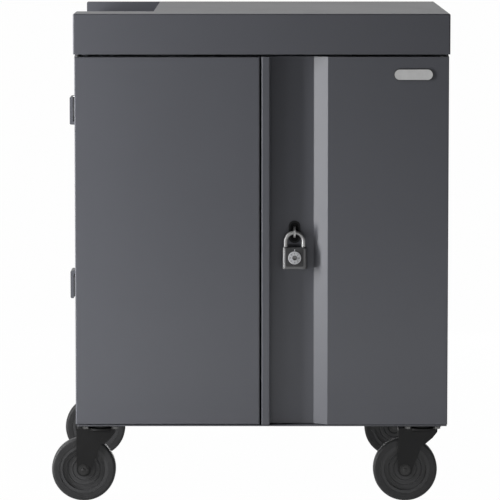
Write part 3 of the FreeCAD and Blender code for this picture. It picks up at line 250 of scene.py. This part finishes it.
def stapleSteel():
    # bare steel on the eye plate; the foot behind the channel is painted near black, painted shade for the
    # dark seen through the slot
    paint = Paint("stapleSteel")
    foot = paint.ramp(paint.axis("Y"), channelFloor - staple["fade"] * mm, channelFloor)
    rub = paint.noise(staple["rub"], 4.0)
    steel = paint.mix(rub, grey(staple["worn"]), grey(staple["bright"]))
    return paint.finish(Base_Color=paint.mix(foot, steel, grey(staple["foot"])), Metallic=0.9 - foot * 0.9,
                        Roughness=staple["rough"] + rub * 0.15 + foot * 0.4,
                        Specular_IOR_Level=staple["gloss"])


finishes = {
    "cabinet_paint": cabinetPaint, "frame_paint": framePaint, "zinc_steel": zincSteel,
    "caster_paint": casterPaint, "wheel_core": wheelCore, "wheel_tyre": wheelTyre,
    "pedal_plastic": pedalPlastic, "black_plastic": blackPlastic, "nylon": nylonBushShade,
    "handle_grip": handleGrip, "lock_steel": shackleSteel, "lock_black": lockGreyAndSheen,
    "dial_face": dialFace, "badge_silver": badgeSilver,
}
corners = ["front_left", "front_right", "rear_left", "rear_right"]
ownFinish = {"lock_staple": stapleSteel(), "caster_bolts": darkZinc, "kingpins": darkZinc,
             "door_pivot_pins": pinSteelShade, **{"axle_" + corner: axleSteel for corner in corners}}
for part in frame["record"]["subparts"]:
    mesh = nodes[part["node"]].data
    mesh.materials.clear()
    mesh.materials.append(ownFinish.get(part["node"], finishes[part["material_slot"]]))
print("finishes assigned")


# Mesh tools

turns = {"front": 0, "back": 180, "left": -90}
sharpEdge = 35  # degrees


def facing(side, x, y, z):
    # stands a shape drawn flat, with its top towards +Z, up against a side of the cart
    turn = Matrix.Rotation(math.radians(turns[side]), 4, "Z") @ Matrix.Rotation(math.pi / 2, 4, "X")
    return Matrix.Translation((x, y, z)) @ turn


def middleOf(node):
    low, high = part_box(node)
    return (low + high) / 2


def addPiece(name, bm, material, body):
    bmesh.ops.remove_doubles(bm, verts=bm.verts, dist=1e-6)
    bmesh.ops.recalc_face_normals(bm, faces=bm.faces)
    mesh = bpy.data.meshes.new(name)
    bm.to_mesh(mesh)
    bm.free()
    mesh.polygons.foreach_set("use_smooth", [True] * len(mesh.polygons))
    mesh.set_sharp_from_angle(angle=math.radians(sharpEdge))
    mesh.materials.append(material)
    piece = bpy.data.objects.new(name, mesh)
    bpy.context.collection.objects.link(piece)
    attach(piece, body)


def stamp(shape, places, bm=None):
    # a copy of one small shape at each place
    bm = bm or bmesh.new()
    mesh = bpy.data.meshes.new("stamp")
    shape.to_mesh(mesh)
    shape.free()
    for place in places:
        mesh.transform(place)
        bm.from_mesh(mesh)
        mesh.transform(place.inverted())
    bpy.data.meshes.remove(mesh)
    return bm


def pointsOf(geom):
    return [item for item in geom if isinstance(item, bmesh.types.BMVert)]


def spun(points, steps, closed=True):
    # turns an outline of (radius, height) in mm about Z
    bm = bmesh.new()
    verts = [bm.verts.new((r * mm, 0, h * mm)) for r, h in points]
    chain = verts + verts[:1] if closed else verts
    edges = [bm.edges.new(pair) for pair in zip(chain, chain[1:])]
    bmesh.ops.spin(bm, geom=verts + edges, cent=(0, 0, 0), axis=(0, 0, 1), angle=2 * math.pi, steps=steps,
                   use_merge=True)
    bmesh.ops.remove_doubles(bm, verts=bm.verts, dist=1e-7)
    return bm


def ringOf(inner, outer, high, steps, slope=0.0):
    # a flat ring in mm whose outer edge leans in by the slope
    return spun([(inner, 0), (outer, 0), (outer - slope, high), (inner, high)], steps)


def block(width, deep, high, edge=0.0):
    # a box in mm that stands on its base, with its edges rounded
    bm = bmesh.new()
    bmesh.ops.create_cube(bm, size=1)
    bmesh.ops.scale(bm, verts=bm.verts, vec=(width * mm, deep * mm, high * mm))
    bmesh.ops.translate(bm, verts=bm.verts, vec=(0, 0, high * mm / 2))
    if edge:
        bmesh.ops.bevel(bm, geom=bm.edges, offset=edge * mm, affect="EDGES", segments=2, profile=0.5,
                        material=-1)
    return bm


def pull(bm, by):
    # pulls all the flat faces into a solid, by a step in mm
    pulled = bmesh.ops.extrude_face_region(bm, geom=bm.faces[:])["geom"]
    bmesh.ops.translate(bm, verts=pointsOf(pulled), vec=Vector(by) * mm)
    return bm


def section(points):
    # one flat face in the YZ plane, from points of (y, z) in mm
    bm = bmesh.new()
    bm.faces.new([bm.verts.new((0, y * mm, z * mm)) for y, z in points])
    return bm


def rimFrame(bm, wide, high):
    # keeps a border of the one flat face and raises it
    face = bm.faces[:][0]
    bmesh.ops.inset_region(bm, faces=[face], thickness=wide * mm, use_boundary=True, use_even_offset=True)
    bmesh.ops.delete(bm, geom=[face], context="FACES_ONLY")
    return pull(bm, (0, 0, high))


def roundedFlat(width, high, radius):
    # one flat face with rounded corners, in mm
    bm = bmesh.new()
    bmesh.ops.create_grid(bm, x_segments=1, y_segments=1, size=0.5)
    bmesh.ops.scale(bm, verts=bm.verts, vec=(width * mm, high * mm, 1))
    bmesh.ops.bevel(bm, geom=bm.verts, offset=radius * mm, affect="VERTICES", segments=6, profile=0.5,
                    material=-1)
    return bm


def socketScrew(radius, high):
    # a button head with a six-sided socket
    dome = [(radius, 0), (radius, high * 0.3), (radius * 0.86, high * 0.75), (radius * 0.56, high)]
    bm = spun(dome, 24, closed=False)
    rim = [edge for edge in bm.edges if edge.is_boundary]
    base = [edge for edge in rim if edge.verts[0].co.z < high * mm / 2]
    bmesh.ops.edgeloop_fill(bm, edges=base)
    key = bmesh.ops.create_circle(bm, segments=6, radius=radius * 0.45 * mm)["verts"]
    bmesh.ops.translate(bm, verts=key, vec=(0, 0, high * mm))
    hexagon = list({edge for vert in key for edge in vert.link_edges})
    bmesh.ops.bridge_loops(bm, edges=[edge for edge in rim if edge not in base] + hexagon)
    sunk = bmesh.ops.extrude_edge_only(bm, edges=hexagon)["geom"]
    bmesh.ops.translate(bm, verts=pointsOf(sunk), vec=(0, 0, -high * 0.7 * mm))
    bmesh.ops.edgeloop_fill(bm, edges=[edge for edge in sunk if isinstance(edge, bmesh.types.BMEdge)])
    return bm


def figure(text, high, deep):
    # a figure lying flat about the origin
    data = bpy.data.curves.new("figure", "FONT")
    data.body = text
    data.size = high * mm
    data.extrude = deep * mm
    data.resolution_u = 3
    data.align_x, data.align_y = "CENTER", "CENTER"
    holder = bpy.data.objects.new("figure", data)
    bpy.context.collection.objects.link(holder)
    mesh = bpy.data.meshes.new_from_object(holder)
    bm = bmesh.new()
    bm.from_mesh(mesh)
    bpy.data.objects.remove(holder)
    bpy.data.curves.remove(data)
    bpy.data.meshes.remove(mesh)
    return bm


# Padlock

lockDial = {"ticks": 40, "figureEvery": 5, "tick": (0.4, 1.4), "longTick": (0.6, 2.2), "proud": 0.12,
            "tickRing": 11.3, "figureRing": 8.2, "figureHigh": 3.8, "knob": 5.2, "knobHigh": 1.4,
            "knobTaper": 0.93, "flutes": 16, "fluteDeep": 0.92, "dishRim": 0.8, "dishDeep": 0.4}


def makeDialMarks(middle):
    marks, figures = bmesh.new(), bmesh.new()
    for index in range(lockDial["ticks"]):
        long = index % lockDial["figureEvery"] == 0
        swing = middle @ Matrix.Rotation(-2 * math.pi * index / lockDial["ticks"], 4, "Z")
        wide, tall = lockDial["longTick" if long else "tick"]
        spot = swing @ Matrix.Translation((0, (lockDial["tickRing"] - tall / 2) * mm, 0))
        stamp(block(wide, tall, lockDial["proud"]), [spot], marks)
        if long:
            spot = swing @ Matrix.Translation((0, lockDial["figureRing"] * mm, 0))
            stamp(figure(str(index), lockDial["figureHigh"], lockDial["proud"]), [spot], figures)
    addPiece("dialTicks", marks, blackPlastic, "lock_dial")
    addPiece("dialFigures", figures, blackPlastic, "lock_dial")


def makeDialKnob(middle):
    knob = bmesh.new()
    ring = bmesh.ops.create_circle(knob, cap_ends=True, segments=lockDial["flutes"] * 2,
                                   radius=lockDial["knob"] * mm)["verts"]
    for vert in ring[::2]:
        vert.co *= lockDial["fluteDeep"]
    cap = bmesh.ops.extrude_face_region(knob, geom=knob.faces[:])["geom"]
    bmesh.ops.translate(knob, verts=pointsOf(cap), vec=(0, 0, lockDial["knobHigh"] * mm))
    taper = lockDial["knobTaper"]
    bmesh.ops.scale(knob, verts=pointsOf(cap), vec=(taper, taper, 1))
    top = [item for item in cap if isinstance(item, bmesh.types.BMFace)]
    bmesh.ops.inset_region(knob, faces=top, thickness=lockDial["dishRim"] * mm,
                           depth=-lockDial["dishDeep"] * mm)
    addPiece("dialKnob", stamp(knob, [middle]), darkZinc, "lock_dial")


padlockTrim = {"rod": 4, "rodHole": 4.15, "collar": 5.6, "collarHigh": 0.9, "collarSlope": 0.4,
               "liner": (24, 46, 11.6), "linerWide": 4, "linerHigh": 1.4, "indexMark": (1.2, 3.0, 0.3),
               "indexLift": 2.4, "face": (36, 37, 3), "faceHigh": 0.12, "faceLift": 2.0}


def makePadlockTrim():
    low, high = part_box("padlock_case")
    rodLow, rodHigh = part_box("padlock_shackle")
    rod = padlockTrim["rod"] * mm
    ring = ringOf(padlockTrim["rodHole"], padlockTrim["collar"], padlockTrim["collarHigh"], 32,
                  slope=padlockTrim["collarSlope"])
    legs = [Matrix.Translation((x, (rodLow.y + rodHigh.y) / 2, high.z))
            for x in (rodLow.x + rod, rodHigh.x - rod)]
    addPiece("shackleCollars", stamp(ring, legs), darkZinc, "lock_case")
    # dark face of the case, with the mark that the dial is read against; the grey case around it is partly
    # painted light, so its rounded sides read as lit
    middle = middleOf("padlock_case")
    face = pull(roundedFlat(*padlockTrim["face"]), (0, 0, padlockTrim["faceHigh"]))
    spot = facing("front", middle.x, low.y, middle.z + padlockTrim["faceLift"] * mm)
    addPiece("lockFace", stamp(face, [spot]), lockBlack, "lock_case")
    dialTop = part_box("padlock_dial")[1].z
    mark = block(*padlockTrim["indexMark"])
    spot = facing("front", middle.x, low.y, dialTop + padlockTrim["indexLift"] * mm)
    addPiece("dialIndex", stamp(mark, [spot]), markWhite, "lock_case")
    # black liner of the slot that the eye stands in
    eye = middleOf("lock_staple")
    liner = rimFrame(roundedFlat(*padlockTrim["liner"]), padlockTrim["linerWide"], padlockTrim["linerHigh"])
    spot = facing("front", eye.x, channelFloor, eye.z)
    addPiece("slotLiner", stamp(liner, [spot]), slotBlack, "right_door")


dialMiddle = middleOf("padlock_dial")
dialPlace = facing("front", dialMiddle.x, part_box("padlock_dial")[0].y, dialMiddle.z)
makeDialMarks(dialPlace)
makeDialKnob(dialPlace)
makePadlockTrim()
print("padlock dressed")


# Badge place

badge = {"rim": 1.4, "high": 0.5, "grow": 1.0, "steps": 50}


def makeBadgeRim():
    low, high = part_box("badge_plate")
    wide, tall = (high.x - low.x) / mm + badge["grow"], (high.z - low.z) / mm + badge["grow"]
    bm = bmesh.new()
    ring = bmesh.ops.create_circle(bm, cap_ends=True, segments=badge["steps"], radius=tall / 2 * mm)["verts"]
    for vert in ring:
        vert.co.x += math.copysign((wide - tall) / 2 * mm, vert.co.x)
    rim = rimFrame(bm, badge["rim"], (high.y - low.y) / mm + badge["high"])
    middle = middleOf("badge_plate")
    spot = facing("front", middle.x, high.y, middle.z)
    addPiece("badgeRim", stamp(rim, [spot]), blackPlastic, "right_door")


makeBadgeRim()
print("badge place dressed")


# Casters

# the washer and the stud are outlines of (radius, height)
casterTrim = {"web": 8, "ribs": (24.0, 33.5), "ribWide": 1.2, "ribHigh": 1.1, "ribSunk": 0.3, "head": 5,
              "washer": ((7, -0.1), (11.5, -0.1), (11.2, 1.2), (7, 1.2)),
              "stud": ((0, -0.2), (4.2, -0.2), (4.2, 0.6), (2.94, 1.2), (0, 1.6))}


def makeCasterTrim(corner):
    x, y, z = middleOf("core_" + corner)
    web, wide = casterTrim["web"] * mm, casterTrim["ribWide"]
    proud, sunk = casterTrim["ribHigh"], -casterTrim["ribSunk"]
    bm = bmesh.new()
    for radius in casterTrim["ribs"]:
        outline = [(radius - wide, sunk), (radius + wide, sunk), (radius + wide / 2, proud),
                   (radius - wide / 2, proud)]
        stamp(spun(outline, 64), [facing("front", x, y - web, z), facing("back", x, y + web, z)], bm)
    addPiece("hubRibs_" + corner, bm, wheelCore, "wheel_" + corner)
    axleLow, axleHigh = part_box("axle_" + corner)
    head = casterTrim["head"] * mm
    washer = spun(casterTrim["washer"], 40)
    ends = [facing("front", x, axleLow.y + head, z), facing("back", x, axleHigh.y - head, z)]
    addPiece("axleWashers_" + corner, stamp(washer, ends), axleSteel, "swivel_" + corner)
    # rounded stud ends on the axle's two heads
    stud = spun(casterTrim["stud"], 24, closed=False)
    ends = [facing("front", x, axleLow.y, z), facing("back", x, axleHigh.y, z)]
    addPiece("axleStuds_" + corner, stamp(stud, ends), axleSteel, "swivel_" + corner)


# the outline is drawn across and up from the foot of the kingpin's axis
gusset = {"outline": ((20, 150.4), (31, 150.4), (30.5, 143.5), (20.5, 131), (4, 117), (-8, 117)),
          "corner": 2, "legInner": 16.3, "thick": 3.9, "trail": 35}


def makeForkGussets(corner):
    # flared front edges of the fork's two legs
    wheel = middleOf("core_" + corner)
    plate = bmesh.new()
    plate.faces.new([plate.verts.new((across * mm, 0, up * mm)) for across, up in gusset["outline"]])
    bmesh.ops.bevel(plate, geom=plate.verts[1:5], offset=gusset["corner"] * mm, affect="VERTICES", segments=3,
                    profile=0.5, material=-1)
    pull(plate, (0, gusset["thick"], 0))
    starts = (gusset["legInner"], -gusset["legInner"] - gusset["thick"])
    x = wheel.x + gusset["trail"] * mm
    spots = [Matrix.Translation((x, wheel.y + start * mm, 0)) for start in starts]
    addPiece("forkGussets_" + corner, stamp(plate, spots), casterPaint, "swivel_" + corner)


for corner in corners:
    makeCasterTrim(corner)
    if corner.startswith("front"):
        makeForkGussets(corner)
print("casters dressed")


# Handle

grip = {"ribs": 52, "end": 26, "radius": 11.1, "proud": 1.3, "groove": 0.5, "lap": 0.3}


def makeGripSleeve():
    low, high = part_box("push_handle")
    middle = middleOf("push_handle")
    length = (high.y - low.y) / mm - 2 * grip["end"]
    pitch = length / grip["ribs"]
    bore, groove = grip["radius"] - grip["lap"], grip["radius"] + grip["groove"]
    crest = grip["radius"] + grip["proud"]
    outline = [(bore, 0)]
    for index in range(grip["ribs"]):
        outline += [(radius, (index + share) * pitch)
                    for radius, share in ((groove, 0.05), (crest, 0.25), (crest, 0.7), (groove, 0.9))]
    outline.append((bore, length))
    spot = facing("front", middle.x, high.y - grip["end"] * mm, middle.z)
    addPiece("gripSleeve", stamp(spun(outline, 32), [spot]), handleGrip, "cabinet")


makeGripSleeve()
print("handle dressed")


# Cord hooks

hookLining = {"lip": 7, "thick": 2.6, "side": 1, "end": 3.5, "high": 46, "edge": 0.6}


def makeHookLinings():
    # soft lining inside the hooks' lips, which holds a wrapped lead
    low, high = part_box("cord_hooks")
    thick, tall, end = hookLining["thick"], hookLining["high"], hookLining["end"]
    deep = (high.y - low.y) / mm - 2 * hookLining["side"]
    x = low.x + (hookLining["lip"] + thick / 2) * mm
    levels = (low.z + end * mm, high.z - (end + tall) * mm)
    places = [Matrix.Translation((x, middleOf("cord_hooks").y, z)) for z in levels]
    lining = block(thick, deep, tall, hookLining["edge"])
    addPiece("hookLinings", stamp(lining, places), greyPlastic, "cabinet")


makeHookLinings()
print("cord hooks dressed")


# Power bay

outlet = {"pitch": 52, "count": 11, "frame": (36, 42, 4), "rim": 2.2, "high": 0.9, "sunk": 0.2,
          "earthHole": 1.4, "earth": 2.6, "earthHigh": 0.5, "earthSunk": 2, "drop": 7}
strip = {"half": 25, "bracket": (16, 30, 1.6), "bracketEdge": 0.5, "screw": (3.0, 2.0)}


def makeOutlets():
    low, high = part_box("power_strips")
    middle = middleOf("power_strips").x
    columns = [middle + (index - (outlet["count"] - 1) / 2) * outlet["pitch"] * mm
               for index in range(outlet["count"])]
    frames, earths, brackets, screws = (bmesh.new() for _ in range(4))
    for level in (low.z + strip["half"] * mm, high.z - strip["half"] * mm):
        rim = rimFrame(roundedFlat(*outlet["frame"]), outlet["rim"], outlet["high"])
        stamp(rim, [facing("back", x, high.y - outlet["sunk"] * mm, level) for x in columns], frames)
        earth = ringOf(outlet["earthHole"], outlet["earth"], outlet["earthHigh"], 20)
        depth, drop = high.y - outlet["earthSunk"] * mm, level - outlet["drop"] * mm
        stamp(earth, [facing("back", x, depth, drop) for x in columns], earths)
        for side, end in ((-1, low.x), (1, high.x)):
            tab = end + side * strip["bracket"][0] / 2 * mm
            bracket = block(*strip["bracket"], strip["bracketEdge"])
            stamp(bracket, [facing("back", tab, low.y, level)], brackets)
            spot = facing("back", tab, low.y + strip["bracket"][2] * mm, level)
            stamp(socketScrew(*strip["screw"]), [spot], screws)
    addPiece("outletFrames", frames, greyPlastic, "cabinet")
    addPiece("outletEarths", earths, greyPlastic, "cabinet")
    addPiece("stripBrackets", brackets, zincSteel, "cabinet")
    addPiece("stripScrews", screws, darkZinc, "cabinet")


# the lens and the button are outlines of (radius, height), and places are from the plate's middle
controlPanel = {"plate": (138, 82, 4), "thick": 1.6, "screw": (2.8, 1.9), "inset": 7, "edge": 34,
                "lens": ((0, 0), (4.3, 0), (4.3, 0.8), (3.4, 1.2), (2.38, 2.2), (0, 2.6)),
                "lenses": 3, "lensPitch": 13, "lensUp": 22,
                "button": ((0, 0), (9.5, 0), (9.5, 1.4), (7.9, 2.2), (7.5, 1.2), (7.5, 4.6), (6, 5.6),
                           (0, 5.9)),
                "buttons": 2, "buttonPitch": 26, "buttonUp": -14,
                "bar": (44, 3.2, 0.9), "barEdge": 0.4, "bars": 7, "barPitch": 8, "barAcross": -36,
                "barSunk": 0.1}


def makeControlPanel():
    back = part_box("control_box")[1].y
    middle = middleOf("control_box")
    plate = pull(roundedFlat(*controlPanel["plate"]), (0, 0, controlPanel["thick"]))
    spot = facing("back", middle.x, back, middle.z)
    addPiece("controlPlate", stamp(plate, [spot]), framePaint, "cabinet")

    def onPlate(across, up, lift=0.0):
        front = back + (controlPanel["thick"] + lift) * mm
        return facing("back", middle.x + across * mm, front, middle.z + up * mm)

    wide, tall = (size / 2 - controlPanel["inset"] for size in controlPanel["plate"][:2])
    spots = [onPlate(sx * wide, sz * tall) for sx in (-1, 1) for sz in (-1, 1)]
    screws = stamp(socketScrew(*controlPanel["screw"]), spots)
    addPiece("controlScrews", screws, darkZinc, "cabinet")
    edge = controlPanel["edge"]
    lens = spun(controlPanel["lens"], 24, closed=False)
    spots = [onPlate(edge - controlPanel["lensPitch"] * index, controlPanel["lensUp"])
             for index in range(controlPanel["lenses"])]
    addPiece("statusLenses", stamp(lens, spots), lensGreen, "cabinet")
    button = spun(controlPanel["button"], 32, closed=False)
    spots = [onPlate(edge - controlPanel["buttonPitch"] * index, controlPanel["buttonUp"])
             for index in range(controlPanel["buttons"])]
    addPiece("resetButtons", stamp(button, spots), blackPlastic, "cabinet")
    across, pitch, sunk = (controlPanel[key] for key in ("barAcross", "barPitch", "barSunk"))
    half = (controlPanel["bars"] - 1) / 2
    spots = [onPlate(across, (index - half) * pitch, -sunk) for index in range(controlPanel["bars"])]
    bars = stamp(block(*controlPanel["bar"], controlPanel["barEdge"]), spots)
    addPiece("coolingBars", bars, blackPlastic, "cabinet")


inletTrim = {"screw": (2.3, 1.5), "inset": (3.4, 4.2), "bar": (1.0, 4.5, 0.15), "ring": (1.6, 2.2, 0.15),
             "gap": 7.0, "markInset": 5}


def makeInletTrim():
    low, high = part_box("power_inlet")
    rockerLow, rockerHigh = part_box("inlet_rocker")
    insetY, insetZ = (value * mm for value in inletTrim["inset"])
    spots = [facing("left", low.x, y, z) for y in (low.y + insetY, high.y - insetY)
             for z in (low.z + insetZ, high.z - insetZ)]
    screws = stamp(socketScrew(*inletTrim["screw"]), spots)
    addPiece("inletScrews", screws, darkZinc, "cabinet")
    # plain on and off marks beside the rocker
    y, inset = rockerHigh.y + inletTrim["gap"] * mm, inletTrim["markInset"] * mm
    marks = stamp(block(*inletTrim["bar"]), [facing("left", low.x, y, rockerHigh.z - inset)])
    stamp(ringOf(*inletTrim["ring"], 28), [facing("left", low.x, y, rockerLow.z + inset)], marks)
    addPiece("rockerMarks", marks, markWhite, "cabinet")


makeOutlets()
makeControlPanel()
makeInletTrim()
print("power bay dressed")


# Laptop slots

dividerTrim = {"count": 10, "sheet": 2, "foot": 1, "wide": 5.0, "thick": 1.6, "corner": 45, "bend": 8,
               "reach": 330}


def makeDividerTrim(node):
    # a folded edge strip up the front of each divider, round its cut corner and along its top
    low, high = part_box(node)
    sheet, corner, wide = (dividerTrim[key] * mm for key in ("sheet", "corner", "wide"))
    pitch = (high.x - low.x - sheet) / (dividerTrim["count"] - 1)
    path = [(low.y, low.z + dividerTrim["foot"] * mm), (low.y, high.z - corner), (low.y + corner, high.z),
            (low.y + dividerTrim["reach"] * mm, high.z)]
    bm = bmesh.new()
    verts = [bm.verts.new((-wide / 2, y, z)) for y, z in path]
    for pair in zip(verts, verts[1:]):
        bm.edges.new(pair)
    bmesh.ops.bevel(bm, geom=verts[1:3], offset=dividerTrim["bend"] * mm, affect="VERTICES", segments=4,
                    profile=0.5, material=-1)
    across = bmesh.ops.extrude_edge_only(bm, edges=bm.edges[:])["geom"]
    bmesh.ops.translate(bm, verts=pointsOf(across), vec=(wide, 0, 0))
    bmesh.ops.recalc_face_normals(bm, faces=bm.faces)
    bmesh.ops.solidify(bm, geom=bm.faces[:], thickness=dividerTrim["thick"] * mm)
    places = [Matrix.Translation((low.x + sheet / 2 + index * pitch, 0, 0))
              for index in range(dividerTrim["count"])]
    addPiece(node + "_trim", stamp(bm, places), blackPlastic, "cabinet")


for node in ("lower_dividers", "upper_dividers"):
    makeDividerTrim(node)
print("laptop slots dressed")


# Rear door and bumpers

louvre = {"length": 244, "count": 10, "pitch": 18, "spacing": 320, "rise": 67, "tiers": 400, "deep": 4.6,
          "tall": 9.5, "thick": 0.9, "endInset": 0.1}


def makeLouvreHoods():
    # pressed hoods, open below, drawn in section and pulled along their length
    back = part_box("rear_door_panel")[1].y
    middle = middleOf("rear_door_panel").x
    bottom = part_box("base_pan")[0].z
    deep, tall, thick = louvre["deep"], louvre["tall"], louvre["thick"]
    outer = [(tall, 0), (tall * 0.82, deep * 0.45), (tall * 0.45, deep * 0.85), (0, deep)]
    inner = [(0, deep - thick), (tall * 0.42, deep * 0.85 - thick), (tall * 0.72, deep * 0.4 - thick * 0.6),
             (tall - thick * 1.6, 0)]
    length, inset = louvre["length"], louvre["endInset"]
    starts = (inset - length / 2, length / 2 - thick - inset)
    hood = stamp(pull(section(outer + inner), (length, 0, 0)), [Matrix.Translation((-length / 2 * mm, 0, 0))])
    stamp(pull(section(inner + [(0, 0)]), (thick, 0, 0)),
          [Matrix.Translation((start * mm, 0, 0)) for start in starts], hood)
    places = [facing("back", middle + column * louvre["spacing"] / 2 * mm, back,
                     bottom + (louvre["rise"] + tier * louvre["tiers"] + index * louvre["pitch"]) * mm)
              for column in (-1, 1) for tier in range(2) for index in range(louvre["count"])]
    addPiece("louvreHoods", stamp(hood, places), cabinetPaint, "rear_door")


bumper = {"outline": ((0, 0), (5, 0), (5, 0.96), (4, 2.4), (2.25, 3.04), (0, 3.2)), "across": 366,
          "levels": (0.28, 0.52, 0.78)}


def makeDoorBumpers():
    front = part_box("corner_posts")[0].y
    middle = middleOf("corner_posts").x
    across = bumper["across"] * mm
    dome = spun(bumper["outline"], 28, closed=False)
    places = [facing("front", middle + side * across, front, level)
              for side in (-1, 1) for level in bumper["levels"]]
    addPiece("doorBumpers", stamp(dome, places), blackPlastic, "cabinet")


makeLouvreHoods()
makeDoorBumpers()
print("doors dressed")


# Studio

studio = {"floor": 60, "paper": 0.3, "lift": 0.99, "frontSky": 0.03, "backSky": 1.0, "skyStart": -0.12,
          "skyEnd": 1.1}


def seenRay(paint):
    # 1 for what the camera sees directly, in gloss or through glass
    camera, gloss, glass = (paint.node("ShaderNodeLightPath", output=name)
                            for name in ("Is Camera Ray", "Is Glossy Ray", "Is Transmission Ray"))
    return camera.atLeast(gloss).atLeast(glass)


def makeFloor():
    bm = bmesh.new()
    bmesh.ops.create_grid(bm, x_segments=1, y_segments=1, size=studio["floor"])
    mesh = bpy.data.meshes.new("floor")
    bm.to_mesh(mesh)
    bm.free()
    floor = bpy.data.objects.new("floor", mesh)
    bpy.context.collection.objects.link(floor)
    paint = Paint("floorPaper")
    tone = paint.noise(0.8, 2.0)
    paint.finish(Base_Color=paint.mix(tone, grey(studio["paper"]), grey(studio["paper"] * 0.98)),
                 Roughness=0.9, Specular_IOR_Level=0.1)
    glow = paint.node("ShaderNodeEmission", None, {"Color": (1, 1, 1, 1), "Strength": 1.0})
    lit = Value(paint, paint.shader.outputs[0])
    white = paint.node("ShaderNodeMixShader", None, {0: seenRay(paint) * studio["lift"], 1: lit, 2: glow})
    paint.feed(paint.tree.nodes["Material Output"].inputs["Surface"], white)
    mesh.materials.append(paint.owner)


def makeWorld():
    # a room that lights the cart from behind, dim on the camera's side, and white where it is seen
    paint = Paint("studio", bpy.data.worlds, "Background", "Generated")
    sky = paint.ramp(paint.axis("Y"), studio["skyStart"], studio["skyEnd"], studio["frontSky"],
                     studio["backSky"])
    seen = paint.node("ShaderNodeLightPath", output="Is Camera Ray")
    bpy.context.scene.world = paint.finish(Color=(1, 1, 1, 1), Strength=sky.atLeast(seen))


# tall soft boxes that rake across the doors and shine in the lock channel's slant:
# degrees from straight ahead, reach from the slant, height, size and power
slantAcross = 0.13
rakingLamps = {"keyLight": (77, 1.75, 0.95, (0.17, 1.8), 56), "sideLight": (66, 2.4, 0.85, (0.7, 1.2), 13.5)}
# the other lamps: place, target, size and power
plainLamps = {
    "fillLight": ((0, -1.25, 0.17), (0.1, cadLow.y, 0.22), (2.4, 0.1), 3.7),
    "rightLight": ((1.4, -1.2, 0.35), (0.3, cadLow.y, 0.35), (0.5, 0.7), 1.7),
    "topLight": ((0.3, -0.2, 3.2), (0, 0, 1), (1.6, 1.6), 1.0),
    "backLight": ((0.3, 2.6, 0.55), (0, cadHigh.y, 0.55), (0.9, 0.7), 30),
}


def areaLight(name, place, target, size, power):
    data = bpy.data.lights.new(name, "AREA")
    data.shape = "RECTANGLE"
    data.size, data.size_y = size
    data.energy = power
    lamp = bpy.data.objects.new(name, data)
    lamp.location = place
    lamp.visible_camera = False
    lamp.rotation_euler = (Vector(target) - Vector(place)).to_track_quat("-Z", "Y").to_euler()
    bpy.context.collection.objects.link(lamp)


def makeLights():
    for name, (angle, reach, height, size, power) in rakingLamps.items():
        turn = math.radians(angle)
        slant = Vector((slantAcross, cadLow.y, height))
        areaLight(name, slant + Vector((-math.sin(turn), -math.cos(turn), 0)) * reach, slant, size, power)
    for name, settings in plainLamps.items():
        areaLight(name, *settings)


view = {"lens": 270.24, "place": (-0.01134, -7.918, 1.3004), "pitch": 0.10248, "farthest": 200}


def makeCamera():
    data = bpy.data.cameras.new("camera")
    data.lens = view["lens"]
    data.clip_end = view["farthest"]
    camera = bpy.data.objects.new("camera", data)
    camera.location = view["place"]
    camera.rotation_euler = (math.pi / 2 - view["pitch"], 0, 0)
    bpy.context.collection.objects.link(camera)
    bpy.context.scene.camera = camera


makeFloor()
makeWorld()
makeLights()
makeCamera()
bpy.context.scene.view_settings.view_transform = "Standard"
print("studio ready")
